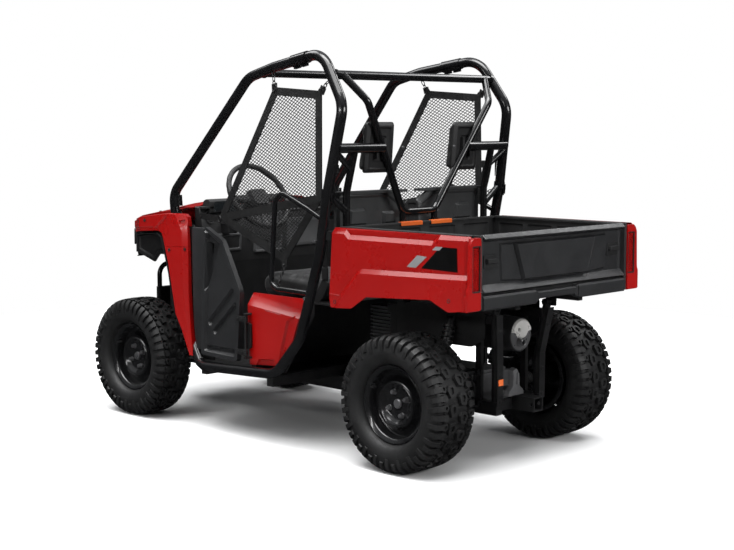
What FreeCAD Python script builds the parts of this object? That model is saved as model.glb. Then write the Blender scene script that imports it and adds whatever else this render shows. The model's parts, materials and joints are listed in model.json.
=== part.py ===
"""Side by side utility vehicle: open two-seat cab, tilting cargo bed, four driven wheels.

Frame: +X forward, +Y to the driver's left, +Z up, origin on the ground under the middle of the
vehicle. Every size is in millimetres.
"""
import FreeCAD, Part
import math
import os
import re

import Sketcher

V = FreeCAD.Vector
doc = FreeCAD.newDocument("side_by_side")

# Driving dimensions
SIZES = {
    # Stations along the vehicle, from the tail to the nose
    "bed_length": 795,
    "cab_gap": 110,
    "cab_length": 1053,
    "nose_length": 712,
    "rear_overhang": 430,
    "front_overhang": 388,
    # Wheels
    "tyre_radius": 303,
    "tyre_outer": 635,
    "front_tyre_width": 203,
    "rear_tyre_width": 254,
    "tread_radius": 290,
    "tread_facets": 28,
    "lug_length": 48,
    "rim_inset": 36,
    "rim_radius": 170,
    "barrel_radius": 150,
    "rim_gauge": 5,
    "hub_radius": 48,
    "spindle_radius": 14,
    "running_gap": 0.3,
    "seat_gap": 0.3,
    # Running gear
    "kingpin_y": 415,
    "rear_carrier_y": 375,
    "upright_half": 68,
    "ball_radius": 16,
    "arm_tube": 11,
    "front_pivot_half": 80,
    "rear_pivot_half": 120,
    "steer_arm": 110,
    "rack_height": 320,
    "rack_radius": 10,
    "shaft_radius": 14,
    "boot_radius": 32,
    "spring_radius": 30,
    "coils": 7,
    # Frame
    "rail_y": 150,
    "rail_width": 40,
    "rail_base": 222,
    "rail_height": 60,
    "floor_height": 330,
    "upper_rail": 630,
    "member_top": 1030,
    "sheet": 5,
    "skid_gauge": 8,
    # Roll frame
    "hoop_radius": 24,
    "hoop_y": 600,
    "roof_y": 530,
    "roof_height": 1804,
    "bar_radius": 19,
    "brace_radius": 17,
    "seat_bar_radius": 22,
    "hip_radius": 12,
    # Cab
    "body_y": 600,
    "panel_y": 576,
    "cab_half": 510,
    "seat_height": 690,
    "cushion_thickness": 110,
    "seat_width": 460,
    "seat_centre": 272,
    "headrest_y": 299,
    "seat_back_rise": 508,
    "headrest_width": 170,
    "wheel_radius": 175,
    "wheel_grip": 14,
    "wheel_y": 290,
    "wheel_height": 1147,
    "wheel_rake": 33,
    "door_thickness": 38,
    "door_top": 1011,
    "door_bottom": 371,
    "net_y": 560,
    "net_gauge": 4,
    "net_clip": 5,
    # Bonnet and nose
    "dash_half": 440,
    "hood_half": 563,
    "hood_front_half": 405,
    "hood_rear": 1130,
    "fascia_top": 960,
    "fascia_half": 240,
    "nose_half": 112,
    "fascia_stand": 170,
    "bumper_y": 190,
    "bumper_radius": 13,
    # Cargo bed
    "bed_stand": 135,
    "bed_floor_gauge": 25,
    "bed_depth": 285,
    "bed_half": 525,
    "bed_wall": 20,
    "bed_side_y": 612,
    "gate_half": 503,
    "gate_thickness": 30,
    "gate_rise": 45,
    "sill_rise": 33,
    "sill_drop": 29,
    "bed_hinge_back": 228,
    "bed_hinge_rise": 70,
    "bed_hinge_y": 185,
    "pin_radius": 8,
    "hitch_outer": 64,
    "hitch_inner": 51,
    "hitch_pin": 8.2,
    "hitch_reach": 99,
    "hitch_pin_back": 82.5,
    "hitch_height": 265,
    # Power
    "engine_length": 360,
    "muffler_radius": 78,
    "muffler_length": 325,
    "muffler_height": 573,
    "muffler_y": 28,
}

# Stations and heights that follow from them
PLACES = {
    "tail": "-(bed_length + cab_gap + cab_length + nose_length) / 2",
    "bed_front": "tail + bed_length",
    "cab_rear": "bed_front + cab_gap",
    "cab_front": "cab_rear + cab_length",
    "nose": "cab_front + nose_length",
    "rear_axle": "tail + rear_overhang",
    "front_axle": "nose - front_overhang",
    "axle": "tyre_radius",
    "rail_top": "rail_base + rail_height",
    "rail_in": "rail_y - rail_width / 2",
    "rail_out": "rail_y + rail_width / 2",
    "firewall": "cab_front - 61",
    "rack_x": "front_axle - steer_arm",
    "bed_hinge": "rear_axle - bed_hinge_back",
    "post_x": "bed_front + 10",
    "hinge_x": "cab_front - 581",
    "seat_back_top": "seat_height + seat_back_rise",
    "head_room": "roof_height - 101 - seat_back_top",
    "headrest_bar": "seat_back_top + head_room * 0.394",
    "headrest_height": "head_room * 0.4554",
    "hinge_high": "seat_height - 122",
    "fascia_base": "upper_rail + fascia_stand",
    "bed_hinge_height": "upper_rail + bed_hinge_rise",
    "bed_floor": "upper_rail + bed_stand",
    "bed_rim": "bed_floor + bed_depth",
    "gate_base": "bed_floor + gate_rise",
    "sill_top": "bed_floor + sill_rise",
    "sill_bottom": "bed_floor - sill_drop",
}

WORD = re.compile(r"[a-z][a-z_]+")
SPRING_SIDES = 12


def sheet_of(word):
    """The name of the sheet that holds an alias."""
    return "Sizes" if word in SIZES else "Places" if word in PLACES else ""


def formula(text):
    """A formula in plain names, with each name's sheet put before it."""

    def full(match):
        word = match.group()
        return f"{sheet_of(word)}.{word}" if sheet_of(word) else word

    return WORD.sub(full, str(text))


def make_sheet(name, cells):
    """A spreadsheet with one named cell a row."""
    sheet = doc.addObject("Spreadsheet::Sheet", name)
    for row, (alias, value) in enumerate(cells.items(), start=1):
        sheet.set(f"A{row}", alias)
        sheet.set(f"B{row}", f"={formula(value)}" if isinstance(value, str) else str(value))
        sheet.setAlias(f"B{row}", alias)
    return sheet


sizes_sheet = make_sheet("Sizes", SIZES)
places_sheet = make_sheet("Places", PLACES)
doc.recompute()


def value(alias):
    """The number that a named cell holds."""
    sheet = sizes_sheet if alias in SIZES else places_sheet
    return float(getattr(sheet, alias))


class Sheets:
    """Named cells read as attributes."""

    def __getattr__(self, alias):
        return value(alias)


S = Sheets()


def bind(thing, prop, text):
    """Tie one property of an object to a formula of the sheets' names."""
    thing.setExpression(prop, formula(text))


# Building blocks
def put(thing, x, y, z):
    """Tie an object's place to formulas."""
    for axis, text in zip("xyz", (x, y, z)):
        bind(thing, f"Placement.Base.{axis}", text)
    return thing


def box(name, x, y, z):
    """A box between pairs of formulas along each axis."""
    thing = doc.addObject("Part::Box", name)
    for prop, (low, high) in zip(("Length", "Width", "Height"), (x, y, z)):
        bind(thing, prop, f"({high}) - ({low})")
    return put(thing, x[0], y[0], z[0])


TURNS = {
    "X": FreeCAD.Rotation(V(0, 1, 0), 90),
    "Y": FreeCAD.Rotation(V(1, 0, 0), -90),
    "Z": FreeCAD.Rotation(),
}


def rod(name, axis, start, length, radius):
    """A cylinder from a start point along +X, +Y or +Z."""
    thing = doc.addObject("Part::Cylinder", name)
    thing.Placement = FreeCAD.Placement(V(0, 0, 0), TURNS[axis])
    bind(thing, "Radius", radius)
    bind(thing, "Height", length)
    return put(thing, *start)


def draw(body, plane, outline):
    """A closed sketch on one of the body's origin planes, each corner tied to formulas."""
    sketch = body.newObject("Sketcher::SketchObject", f"{body.Name}_outline")
    origin_plane = [o for o in body.Origin.OriginFeatures if o.Role == f"{plane}_Plane"][0]
    sketch.AttachmentSupport = [(origin_plane, "")]
    sketch.MapMode = "FlatFace"
    count = len(outline)
    rough = [(200 * math.cos(i * math.tau / count), 200 * math.sin(i * math.tau / count)) for i in range(count)]
    for i in range(count):
        a, b = rough[i], rough[(i + 1) % count]
        sketch.addGeometry(Part.LineSegment(V(a[0], a[1], 0), V(b[0], b[1], 0)), False)
    rules = [Sketcher.Constraint("Coincident", i, 2, (i + 1) % count, 1) for i in range(count)]
    for i in range(count):
        rules.append(Sketcher.Constraint("DistanceX", -1, 1, i, 1, rough[i][0]))
        rules.append(Sketcher.Constraint("DistanceY", -1, 1, i, 1, rough[i][1]))
    sketch.addConstraint(rules)
    for i, (across, up) in enumerate(outline):
        bind(sketch, f"Constraints[{count + 2 * i}]", across)
        bind(sketch, f"Constraints[{count + 2 * i + 1}]", up)
    return sketch


def prism(name, plane, outline, start, thickness):
    """A straight-sided body: an outline in a plane, from start to start + thickness along its normal."""
    body = doc.addObject("PartDesign::Body", name)
    pad = body.newObject("PartDesign::Pad", f"{name}_pad")
    pad.Profile = draw(body, plane, outline)
    bind(pad, "Length", thickness)
    if plane == "XZ":
        bind(body, "Placement.Base.y", f"({start}) + ({thickness})")
    else:
        bind(body, f"Placement.Base.{'z' if plane == 'XY' else 'x'}", start)
    return body


def turned(name, outline, x, z):
    """A body turned about a line along Y: corners are (place along Y, radius)."""
    body = doc.addObject("PartDesign::Body", name)
    spin = body.newObject("PartDesign::Revolution", f"{name}_turn")
    sketch = draw(body, "YZ", outline)
    spin.Profile = sketch
    spin.ReferenceAxis = (sketch, ["H_Axis"])
    spin.Angle = 360
    bind(body, "Placement.Base.x", x)
    bind(body, "Placement.Base.z", z)
    return body


def shaped(name, make):
    """An object whose shape is made in code, read from the sheets."""
    thing = doc.addObject("Part::Feature", name)
    thing.Shape = make
    return thing


def bent_tube(points, radius, bend):
    """A round tube of straight runs joined by tangent arcs."""
    route = [V(*p) for p in points]
    edges = []
    here = route[0]
    for before, corner, after in zip(route, route[1:], route[2:]):
        into = (corner - before).normalize()
        out = (after - corner).normalize()
        half = into.getAngle(out) / 2
        if half < 0.01:
            continue
        reach = min((corner - before).Length, (after - corner).Length) * 0.45
        turn = min(bend, reach / math.tan(half))
        inward = (out - into).normalize()
        start = corner - into * turn * math.tan(half)
        end = corner + out * turn * math.tan(half)
        middle = corner + inward * (turn / math.cos(half) - turn)
        edges.append(Part.LineSegment(here, start).toShape())
        edges.append(Part.Arc(start, middle, end).toShape())
        here = end
    edges.append(Part.LineSegment(here, route[-1]).toShape())
    ring = Part.Wire([Part.Circle(route[0], route[1] - route[0], radius).toShape()])
    return Part.Wire(edges).makePipeShell([ring], True, False)


def tube(name, points, radius, bend=90):
    """One bent tube as an object."""
    return shaped(name, bent_tube(points, radius, bend))


def fuse(name, parts):
    """Welded pieces as one solid."""
    thing = doc.addObject("Part::MultiFuse", name)
    thing.Shapes = list(parts)
    return thing


def cut(name, base, *tools):
    """A piece with others cut from it."""
    for number, tool in enumerate(tools):
        last = number == len(tools) - 1
        thing = doc.addObject("Part::Cut", name if last else f"{name}_cut_{number}")
        thing.Base = base
        thing.Tool = tool
        base = thing
    return base


def overlap(name, first, second):
    """What two bodies share."""
    thing = doc.addObject("Part::Common", name)
    thing.Base = first
    thing.Tool = second
    return thing


def mirror(name, source):
    """The same piece on the other side."""
    thing = doc.addObject("Part::Mirroring", name)
    thing.Source = source
    thing.Normal = V(0, 1, 0)
    return thing


def both(name, part):
    """A left piece and its mirror image, fused."""
    return fuse(name, [part, mirror(f"{name}_right", part)])


def group(name, parts):
    """Like pieces that don't touch, kept in one object."""
    thing = doc.addObject("Part::Compound", name)
    thing.Links = list(parts)
    return thing


nodes = []


def node(label, thing):
    """Name a finished sub-part."""
    thing.Label = label
    nodes.append(thing)
    return thing


def both_sides(label, left):
    """A left piece and its mirror image as two sub-parts."""
    node(f"{label}_left", left)
    return node(f"{label}_right", mirror(f"{label}_mirrored", left))


def pair(label, left):
    """A left piece and its mirror image as two solids of one sub-part."""
    return node(label, group(f"{label}_pair", [left, mirror(f"{label}_mirrored", left)]))


def facet_ring(count, radius, place):
    """A ring of corners put in place in code; the radius is measured to the middle of its flats."""
    out = radius / math.cos(math.pi / count)
    angles = [math.tau * (k + 0.5) / count for k in range(count)]
    return [place(out * math.cos(a), out * math.sin(a)) for a in angles]


def facet_body(rings, looped):
    """A solid with flat faces between rings of corners, closed on itself or by its two end faces."""
    faces = []
    for first, second in zip(rings, rings[1:] + rings[:1] if looped else rings[1:]):
        for k in range(len(first)):
            m = (k + 1) % len(first)
            faces.append(Part.Face(Part.makePolygon([first[k], first[m], second[m], second[k], first[k]])))
    if not looped:
        faces += [Part.Face(Part.makePolygon(ring + ring[:1])) for ring in (rings[0], rings[-1])]
    solid = Part.Solid(Part.makeShell(faces))
    return solid if solid.Volume > 0 else solid.reversed()


# Roll frame
def hoop_points():
    """The side hoop's corners from the rocker's front end, back and over the roof to the front post."""
    rear, front = S.cab_rear, S.cab_front
    y, roof, top = S.hoop_y, S.roof_y, S.roof_height
    return [
        (front - 193, y - 32, 330),
        (front - 265, y - 2, 320),
        (rear + 270, y, 344),
        (rear + 102, y, 524),
        (rear - 30, y, 922),
        (rear - 80, y + 3, 1182),
        (rear - 152, y - 28, top - 218),
        (rear + 10, roof + 10, top + 17),
        (front - 683, roof - 25, top - 38),
        (front - 501, roof - 27, top - 83),
        (front + 7, y - 40, 1157),
        (front - 3, y - 40, 1060),
    ]


def hip_points():
    """The hip bar: from the rear pillar forward over the seat's side and back to the pillar."""
    rear, y = S.cab_rear, S.hoop_y - 15
    return [
        (rear - 56, S.hoop_y - 8, 1072),
        (rear + 60, y, 1122),
        (rear + 235, y, 1192),
        (rear + 282, y, 1150),
        (rear + 310, y, 765),
        (rear + 270, y, 745),
        (rear + 34, S.hoop_y - 4, 742),
    ]


def leg_points():
    """The front post, hidden behind the fender, from the rocker's end up to the windscreen leg."""
    front, y = S.cab_front, S.hoop_y
    return [hoop_points()[0], (front - 103, y - 52, 440), (front - 48, y - 52, 640), hoop_points()[-1]]


def side_hoops():
    """Both side hoops, each welded to its front post and hip bar."""
    main = tube("hoop_main", hoop_points(), S.hoop_radius, 130)
    leg = tube("hoop_leg", leg_points(), S.hoop_radius, 130)
    hip = tube("hoop_hip", hip_points(), S.hip_radius, 45)
    both_sides("side_hoop", fuse("hoop_weld", [main, leg, hip]))


def hoop_tools():
    """Fatter copies of the hoops, which cope the ends of what meets them."""
    grown = S.hoop_radius + S.seat_gap
    main = tube("cope_main", hoop_points(), grown, 130)
    leg = tube("cope_leg", leg_points(), grown, 130)
    left = fuse("cope_left", [main, leg])
    return left, mirror("cope_right", left)


def cab_cross_frame(copes):
    """Roof bars, headrest bars, V brace and inner posts between the hoops."""
    rear, y = S.cab_rear, S.hoop_y
    front_x, roof = S.cab_front - 593, S.roof_y
    top = S.roof_height
    front_bar = tube("front_bar", [(front_x, 25 - roof, top - 63), (front_x, roof - 25, top - 63)], S.bar_radius)
    rear_bar = tube("rear_bar", [(rear - 65, -27 - roof, top - 82), (rear - 65, roof + 27, top - 82)], S.bar_radius)
    lean = (S.headrest_bar - 1096) / (top - 197 - 1096)
    inner_end = 111 + 312 * lean
    seat_bar = tube("seat_bar", [(rear - 130, inner_end, S.headrest_bar), (rear - 130, y - 16, S.headrest_bar)],
                    S.seat_bar_radius)
    half = [(0, 1096), (111, 1096), (423, top - 197), (494, top - 82)]
    depth = [-81, -81, -156, -70]
    left = [(rear + d, side, height) for d, (side, height) in zip(depth, half)]
    right = [(x, -side, height) for x, side, height in reversed(left[1:])]
    brace = tube("v_brace", right + left[1:], S.brace_radius, 60)
    post = tube("inner_post", [(rear - 130, 477, S.headrest_bar - 5), (rear - 80, 481, 1197),
                               (rear - 80, 481, S.member_top)], S.brace_radius)
    stub = tube("brace_stub", [(rear - 81, 111, 1100), (rear - 81, 111, S.member_top)], S.brace_radius - 2)
    knee = tube("knee_brace", [(rear - 80, 481, 1110), (rear - 80, y - 6, 1195)], S.brace_radius - 2)
    web = tube("upper_knee", [(rear - 106, 478, S.headrest_bar - 97), (rear - 125, y - 10, S.headrest_bar - 17)],
               S.brace_radius - 3)
    sides = [both(f"{part.Name}_both", part) for part in (seat_bar, post, stub, knee, web)]
    node("cab_cross_frame", cut("cross_frame", fuse("cross_weld", [front_bar, rear_bar, brace] + sides), *copes))


# Chassis
def mirrored_box(name, x, y, z):
    """A box on the left and its mirror image, fused when both are used."""
    left = box(name, x, y, z)
    return [left, mirror(f"{name}_right", left)]


def lower_frame(copes):
    """Ladder of two rails with outriggers to the rockers, end crossmembers and the hitch receiver."""
    rails = mirrored_box("rail", ("bed_hinge + 3", "nose - 135"), ("rail_in", "rail_out"), ("rail_base", "rail_top"))
    riggers = [
        box(f"outrigger_{number}", (x, f"{x} + 40"), ("-hoop_y", "hoop_y"), ("rail_top", "floor_height"))
        for number, x in enumerate(("cab_rear + 290", "cab_front - 283"))
    ]
    ends = [
        box(f"end_member_{number}", (x, f"{x} + 40"), ("-rail_in", "rail_in"), ("rail_base + 13", "rail_top"))
        for number, x in enumerate(("bed_hinge + 23", "nose - 175"))
    ]
    half = "hitch_outer / 2"
    receiver = box("receiver", ("bed_hinge - hitch_reach", "bed_hinge + 23"), (f"-{half}", half),
                   (f"hitch_height - {half}", f"hitch_height + {half}"))
    hole = "hitch_inner / 2"
    socket = box("receiver_hole", ("bed_hinge - hitch_reach - 2", "bed_hinge + 22"), (f"-{hole}", hole),
                 (f"hitch_height - {hole}", f"hitch_height + {hole}"))
    pin = rod("receiver_pin", "Y", ("bed_hinge - hitch_pin_back", "-hitch_outer", "hitch_height"), "hitch_outer * 2",
              "hitch_pin")
    ladder = fuse("ladder", rails + riggers + ends + [receiver])
    node("lower_frame", cut("ladder_cut", ladder, socket, pin, *copes))


def rear_frame(copes):
    """Cab posts with their crossmember, upper rails, suspension towers and the bed hinge posts."""
    posts = mirrored_box("cab_post", ("post_x", "post_x + 40"), ("rail_in", "rail_out"), ("rail_top", "member_top - 30"))
    member = box("cab_member", ("post_x", "post_x + 40"), ("-hoop_y", "hoop_y"), ("member_top - 40", "member_top"))
    rails = mirrored_box("upper_rail_bar", ("bed_hinge + 3", "post_x + 40"), ("rail_y", "rail_y + 40"),
                         ("upper_rail", "upper_rail + 40"))
    towers = []
    for number, sign in enumerate(("-", "+")):
        x = f"rear_axle {sign} rear_pivot_half"
        towers += mirrored_box(f"rear_tower_{number}", (f"{x} - 15", f"{x} + 15"), ("rail_y", "rail_out"),
                               ("rail_top", "upper_rail"))
    pads = mirrored_box("bed_pad", ("bed_front - 100", "bed_front - 60"), ("rail_y", "rail_y + 40"),
                        ("upper_rail + 40", "upper_rail + 60 - seat_gap"))
    hinge, height, y = S.bed_hinge, S.bed_hinge_height, S.bed_hinge_y
    post = tube("hinge_post", [(hinge + 22, S.rail_y, S.rail_top), (hinge + 22, S.rail_y, 450),
                               (hinge, y, height - 10)], S.bar_radius, 60)
    eye = rod("hinge_eye", "Y", ("bed_hinge", "bed_hinge_y - 20", "bed_hinge_height"), "40", "pin_radius + 8")
    bore = rod("hinge_bore", "Y", ("bed_hinge", "-hoop_y", "bed_hinge_height"), "hoop_y * 2",
               "pin_radius + running_gap")
    hinge_posts = both("hinge_posts", fuse("hinge_post_weld", [post, eye]))
    shock_seats = mirrored_box("rear_shock_seat", ("rear_axle - 25", "rear_axle + 25"), ("rail_y + 40", "rail_y + 52"),
                               ("upper_rail + 10", "upper_rail + 40"))
    whole = fuse("rear_weld", posts + [member] + rails + towers + pads + [hinge_posts] + shock_seats)
    node("rear_frame", cut("rear_cut", whole, bore, *copes))


def front_frame():
    """Towers for the front suspension, upper rails, front posts and the rack housing."""
    towers = []
    for number, sign in enumerate(("-", "+")):
        x = f"front_axle {sign} front_pivot_half"
        towers += mirrored_box(f"front_tower_{number}", (f"{x} - 15", f"{x} + 15"), ("rail_y", "rail_out"),
                               ("rail_top", "upper_rail + 70"))
    rails = mirrored_box("front_rail", ("firewall + sheet", "nose - 165"), ("rail_in", "rail_out"),
                         ("upper_rail + 70", "upper_rail + 110"))
    posts = mirrored_box("front_post", ("nose - 205", "nose - 165"), ("rail_in", "rail_out"),
                         ("rail_top", "fascia_base - seat_gap"))
    beams = [box(f"front_beam_{number}", (x, f"{x} + 40"), ("-rail_in", "rail_in"),
                 ("upper_rail + 70", "upper_rail + 110")) for number, x in enumerate(("front_axle - 20", "nose - 205"))]
    seats = mirrored_box("front_shock_seat", ("front_axle - 25", "front_axle + 25"), ("rail_out", "rail_out + 25"),
                         ("upper_rail + 70", "upper_rail + 110"))
    housing = rod("rack_housing", "Y", ("rack_x", "5 - rail_y", "rack_height"), "(rail_y - 5) * 2", "rack_radius + 14")
    feet = mirrored_box("rack_foot", ("rack_x - 16", "rack_x + 14"), ("rail_in", "rail_y - 5"),
                        ("rail_top", "rack_height"))
    bore = rod("rack_bore", "Y", ("rack_x", "-hoop_y", "rack_height"), "hoop_y * 2", "rack_radius + running_gap")
    whole = fuse("front_weld", towers + rails + posts + beams + seats + [housing] + feet)
    node("front_frame", cut("front_cut", whole, bore))


def front_bumper():
    """Bumper hoop from the rails' ends with the plate across its lower half."""
    y, nose = S.bumper_y, S.nose
    side = [(nose - 122, S.rail_y, 262), (nose - 99, y, 340), (nose - 99, y, 737)]
    hoop = tube("bumper_hoop", side + [(x, -across, z) for x, across, z in reversed(side)], S.bumper_radius, 60)
    pan = box("bumper_pan", ("nose - 110", "nose - 70"), ("-bumper_y", "bumper_y"), ("440", "610"))
    feet = mirrored_box("bumper_foot", ("nose - 135 + seat_gap", "nose - 116"), ("rail_in", "rail_out"),
                        ("rail_base + 15", "rail_top"))
    node("front_bumper", fuse("bumper_weld", [hoop, pan] + feet))


def skid_plate():
    """Flat plate under the ladder frame."""
    node("skid_plate", box("skid", ("cab_rear + 180", "nose - 185"), ("-rail_out", "rail_out"),
                           ("rail_base - skid_gauge", "rail_base")))


# Suspension
def straight(start, end, radius):
    """A round bar between two points."""
    return Part.makeCylinder(radius, (V(*end) - V(*start)).Length, V(*start), V(*end) - V(*start))


def wishbone(axle_x, half, ball_y, inner_height, ball_low, ball_high, leg_drop):
    """One arm: two pivot bushes, two legs and the ball joint's boss."""
    bush = S.arm_tube + 3
    pivot_y = S.rail_out + bush + S.seat_gap
    middle = (ball_low + ball_high) / 2 - leg_drop
    boss = Part.makeCylinder(S.ball_radius, ball_high - ball_low, V(axle_x, ball_y, ball_low))
    pieces = []
    for sign in (-1, 1):
        pivot = (axle_x + sign * half, pivot_y, inner_height)
        pieces.append(straight((pivot[0] - 18, pivot_y, inner_height), (pivot[0] + 18, pivot_y, inner_height), bush))
        pieces.append(straight(pivot, (axle_x, ball_y, middle), S.arm_tube))
    return boss.multiFuse(pieces)


def arms(label, axle_x, half, ball_y):
    """Upper and lower arms on both sides of one axle, as four solids."""
    low, high = S.axle - S.upright_half, S.axle + S.upright_half
    gap = S.seat_gap
    lower = shaped(f"{label}_lower", wishbone(axle_x, half, ball_y, 265, low - 28, low - gap, 2))
    upper = wishbone(axle_x, half, ball_y, 410, high + gap, high + 28, -2)
    seat_y = ball_y - 75
    seat = Part.makeBox(60, 34, 30, V(axle_x - 30, seat_y - 17, high + 6))
    upper = shaped(f"{label}_upper", upper.fuse(seat))
    parts = [lower, upper]
    node(label, group(f"{label}_group", parts + [mirror(f"{part.Name}_right", part) for part in parts]))


def shock(foot, head):
    """Spring and damper from a spot on its seat up to the frame; its tilted end stands on the seat."""
    rod_radius = 9
    axis = V(*head) - V(*foot)
    tilt = axis.getAngle(V(0, 0, 1))
    start = V(*foot) + V(0, 0, rod_radius * math.sin(tilt) + S.seat_gap)
    axis = V(*head) - start
    length = axis.Length
    spot = FreeCAD.Placement(start, FreeCAD.Rotation(V(0, 0, 1), axis))
    rod_part = Part.makeCylinder(rod_radius, length)
    rise = (length - 70) / S.coils
    waist = S.spring_radius - 8
    stations = [(22 + rise * (k + part), radius) for k in range(int(S.coils))
                for part, radius in ((0, waist), (0.3, S.spring_radius), (0.7, S.spring_radius))]
    stations.append((22 + rise * S.coils, waist))
    spring = facet_body([facet_ring(SPRING_SIDES, radius, lambda a, b, z=z: V(a, b, z)) for z, radius in stations],
                        False)
    cap = Part.makeCylinder(S.spring_radius - 8, 30, V(0, 0, length - 50))
    whole = spring.multiFuse([rod_part, cap])
    whole.Placement = spot
    return whole


def shocks():
    """Four spring and damper units from the upper arms to the frame."""
    base = S.axle + S.upright_half + 36
    front = shaped("shock_front", shock((S.front_axle, S.kingpin_y - 75, base),
                                        (S.front_axle, S.rail_out + 30, S.upper_rail + 68)))
    rear = shaped("shock_rear", shock((S.rear_axle, S.rear_carrier_y - 75, base),
                                      (S.rear_axle, S.rail_y + 64, S.upper_rail + 20)))
    parts = [front, rear]
    node("shocks", group("shock_group", parts + [mirror(f"{part.Name}_right", part) for part in parts]))


def upright(name, x, y, face):
    """Hub carrier: ball joint column, hub barrel and spindle."""
    column = rod(f"{name}_column", "Z", (x, y, "axle - upright_half"), "upright_half * 2", "ball_radius + 2")
    barrel = rod(f"{name}_barrel", "Y", (x, f"{y} - 25", "axle"), "50", "hub_radius - 3")
    spindle = rod(f"{name}_spindle", "Y", (x, y, "axle"), f"({face}) - ({y}) - 12", "spindle_radius")
    return fuse(name, [column, barrel, spindle])


def knuckles():
    """Steered front knuckles with the steering arm behind the axle."""
    carrier = upright("front_upright", "front_axle", "kingpin_y", "tyre_outer - rim_inset - 37")
    arm = box("steer_arm_bar", ("rack_x - 14", "front_axle"), ("kingpin_y - 12", "kingpin_y + 12"),
              ("rack_height + rack_radius + 4", "rack_height + rack_radius + 18"))
    both_sides("knuckle", fuse("knuckle_weld", [carrier, arm]))


def rear_carriers():
    """Fixed rear hub carriers."""
    pair("rear_carriers", upright("rear_upright", "rear_axle", "rear_carrier_y", "tyre_outer - rim_inset - 37"))


def steering_rack():
    """Rack bar with its tie rods and the rod ends under the knuckles' arms."""
    bar = rod("rack_bar", "Y", ("rack_x", "-kingpin_y", "rack_height"), "kingpin_y * 2", "rack_radius")
    end = rod("rod_end", "Z", ("rack_x", "kingpin_y", "rack_height - 14"), "15 + rack_radius", "14")
    node("steering_rack", fuse("rack_weld", [bar, end, mirror("rod_end_right", end)]))


def drive_shafts():
    """Half shafts from both final drives, with their joint boots."""
    pieces = []
    for name, x, start, end in (
        ("front", "front_axle", "100", "kingpin_y - 56"),
        ("rear", "rear_axle", "110", "rear_carrier_y - 25"),
    ):
        shaft = rod(f"{name}_shaft", "Y", (x, start, "axle"), f"({end}) - ({start})", "shaft_radius")
        inner = rod(f"{name}_boot_in", "Y", (x, "rail_out + 8", "axle"), "38", "boot_radius")
        outer = rod(f"{name}_boot_out", "Y", (x, f"{end} - 45", "axle"), "45", "boot_radius")
        left = fuse(f"{name}_half_shaft", [shaft, inner, outer])
        pieces += [left, mirror(f"{name}_half_shaft_right", left)]
    node("drive_shafts", group("shaft_group", pieces))


# Wheels
def lug(x, turn, low, high, base, length):
    """One tread block from the carcass out to the tyre's full radius."""
    block = Part.makeBox(length, high - low, S.tyre_radius - base, V(x - length / 2, low, S.axle + base))
    block.rotate(V(x, 0, S.axle), V(0, 1, 0), math.degrees(turn))
    return block


def knobby_tyre(x, width):
    """A left tyre: faceted carcass, staggered tread blocks and shoulder lugs down the outer wall."""
    outer, face, tread = S.tyre_outer, S.tyre_outer - S.rim_inset, S.tread_radius
    inner, barrel = outer - width, S.barrel_radius + S.running_gap
    bead = S.rim_radius + S.running_gap + 4
    line = [(face - 12, barrel), (face - 12, bead), (outer - 4, bead + 42), (outer - 10, tread - 30),
            (outer - 38, tread), (inner + 38, tread), (inner + 10, tread - 30), (inner + 4, bead + 42),
            (inner + 24, bead), (inner + 24, barrel)]
    count = int(S.tread_facets)
    rings = [facet_ring(count, radius, lambda a, b, across=across: V(x + a, across, S.axle + b))
             for across, radius in line]
    carcass = facet_body(rings, True)
    pitches = count // 2
    blocks = []
    middle, reach = (outer + inner) / 2, width / 2
    for k in range(pitches):
        turn = math.pi + math.tau * k / pitches
        half_turn = turn + math.pi / pitches
        blocks.append(lug(x, turn, outer - reach * 0.46, outer, tread - 26, S.lug_length))
        blocks.append(lug(x, turn, inner, inner + reach * 0.46, tread - 26, S.lug_length))
        blocks.append(lug(x, half_turn, middle - reach * 0.42, middle + reach * 0.42, tread - 8, S.lug_length))
    return carcass.multiFuse(blocks)


def wheel(tag, x, width, hub_back):
    """A left tyre and its steel rim, turned about the axle."""
    inner = f"tyre_outer - {width}"
    face = "tyre_outer - rim_inset"
    tyre = shaped(f"tyre_{tag}", knobby_tyre(value(x), value(width)))
    rim = turned(f"rim_{tag}", [
        (hub_back, "spindle_radius + running_gap"),
        (hub_back, "hub_radius"),
        (f"{face} - 49", "hub_radius"),
        (f"{face} - 49", "72"),
        (f"{face} - 29", "88"),
        (f"{face} - 29", "98"),
        (f"{face} - 66", "108"),
        (f"{face} - 66", "barrel_radius - rim_gauge"),
        (f"{inner} + 10", "barrel_radius - rim_gauge"),
        (f"{inner} + 10", "rim_radius"),
        (f"{inner} + 22", "rim_radius"),
        (f"{inner} + 22", "barrel_radius"),
        (f"{face} - 12 + running_gap", "barrel_radius"),
        (f"{face} - 12 + running_gap", "rim_radius"),
        (face, "rim_radius"),
        (face, "barrel_radius + 6"),
        (f"{face} - 12", "barrel_radius - rim_gauge"),
        (f"{face} - 60", "barrel_radius - rim_gauge"),
        (f"{face} - 60", "110"),
        (f"{face} - 20", "100"),
        (f"{face} - 20", "86"),
        (f"{face} - 37", "70"),
        (f"{face} - 37", "spindle_radius + running_gap"),
    ], x, "axle")
    return tyre, rim


def wheels():
    """Four tyres and four rims."""
    for tag, x, width, hub_back in (
        ("front", "front_axle", "front_tyre_width", "kingpin_y + 31"),
        ("rear", "rear_axle", "rear_tyre_width", "rear_carrier_y + 31"),
    ):
        tyre, rim = wheel(tag, x, width, hub_back)
        both_sides(f"tyre_{tag}", tyre)
        both_sides(f"rim_{tag}", rim)


# Power
def engine_block():
    """The engine as one plain block between the rails, under and behind the seats."""
    node("engine_block", box("engine", ("cab_rear + 190 - engine_length", "cab_rear + 190"), ("-rail_in", "rail_in"),
                             ("rail_base + 28", "seat_height - 50")))


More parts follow.
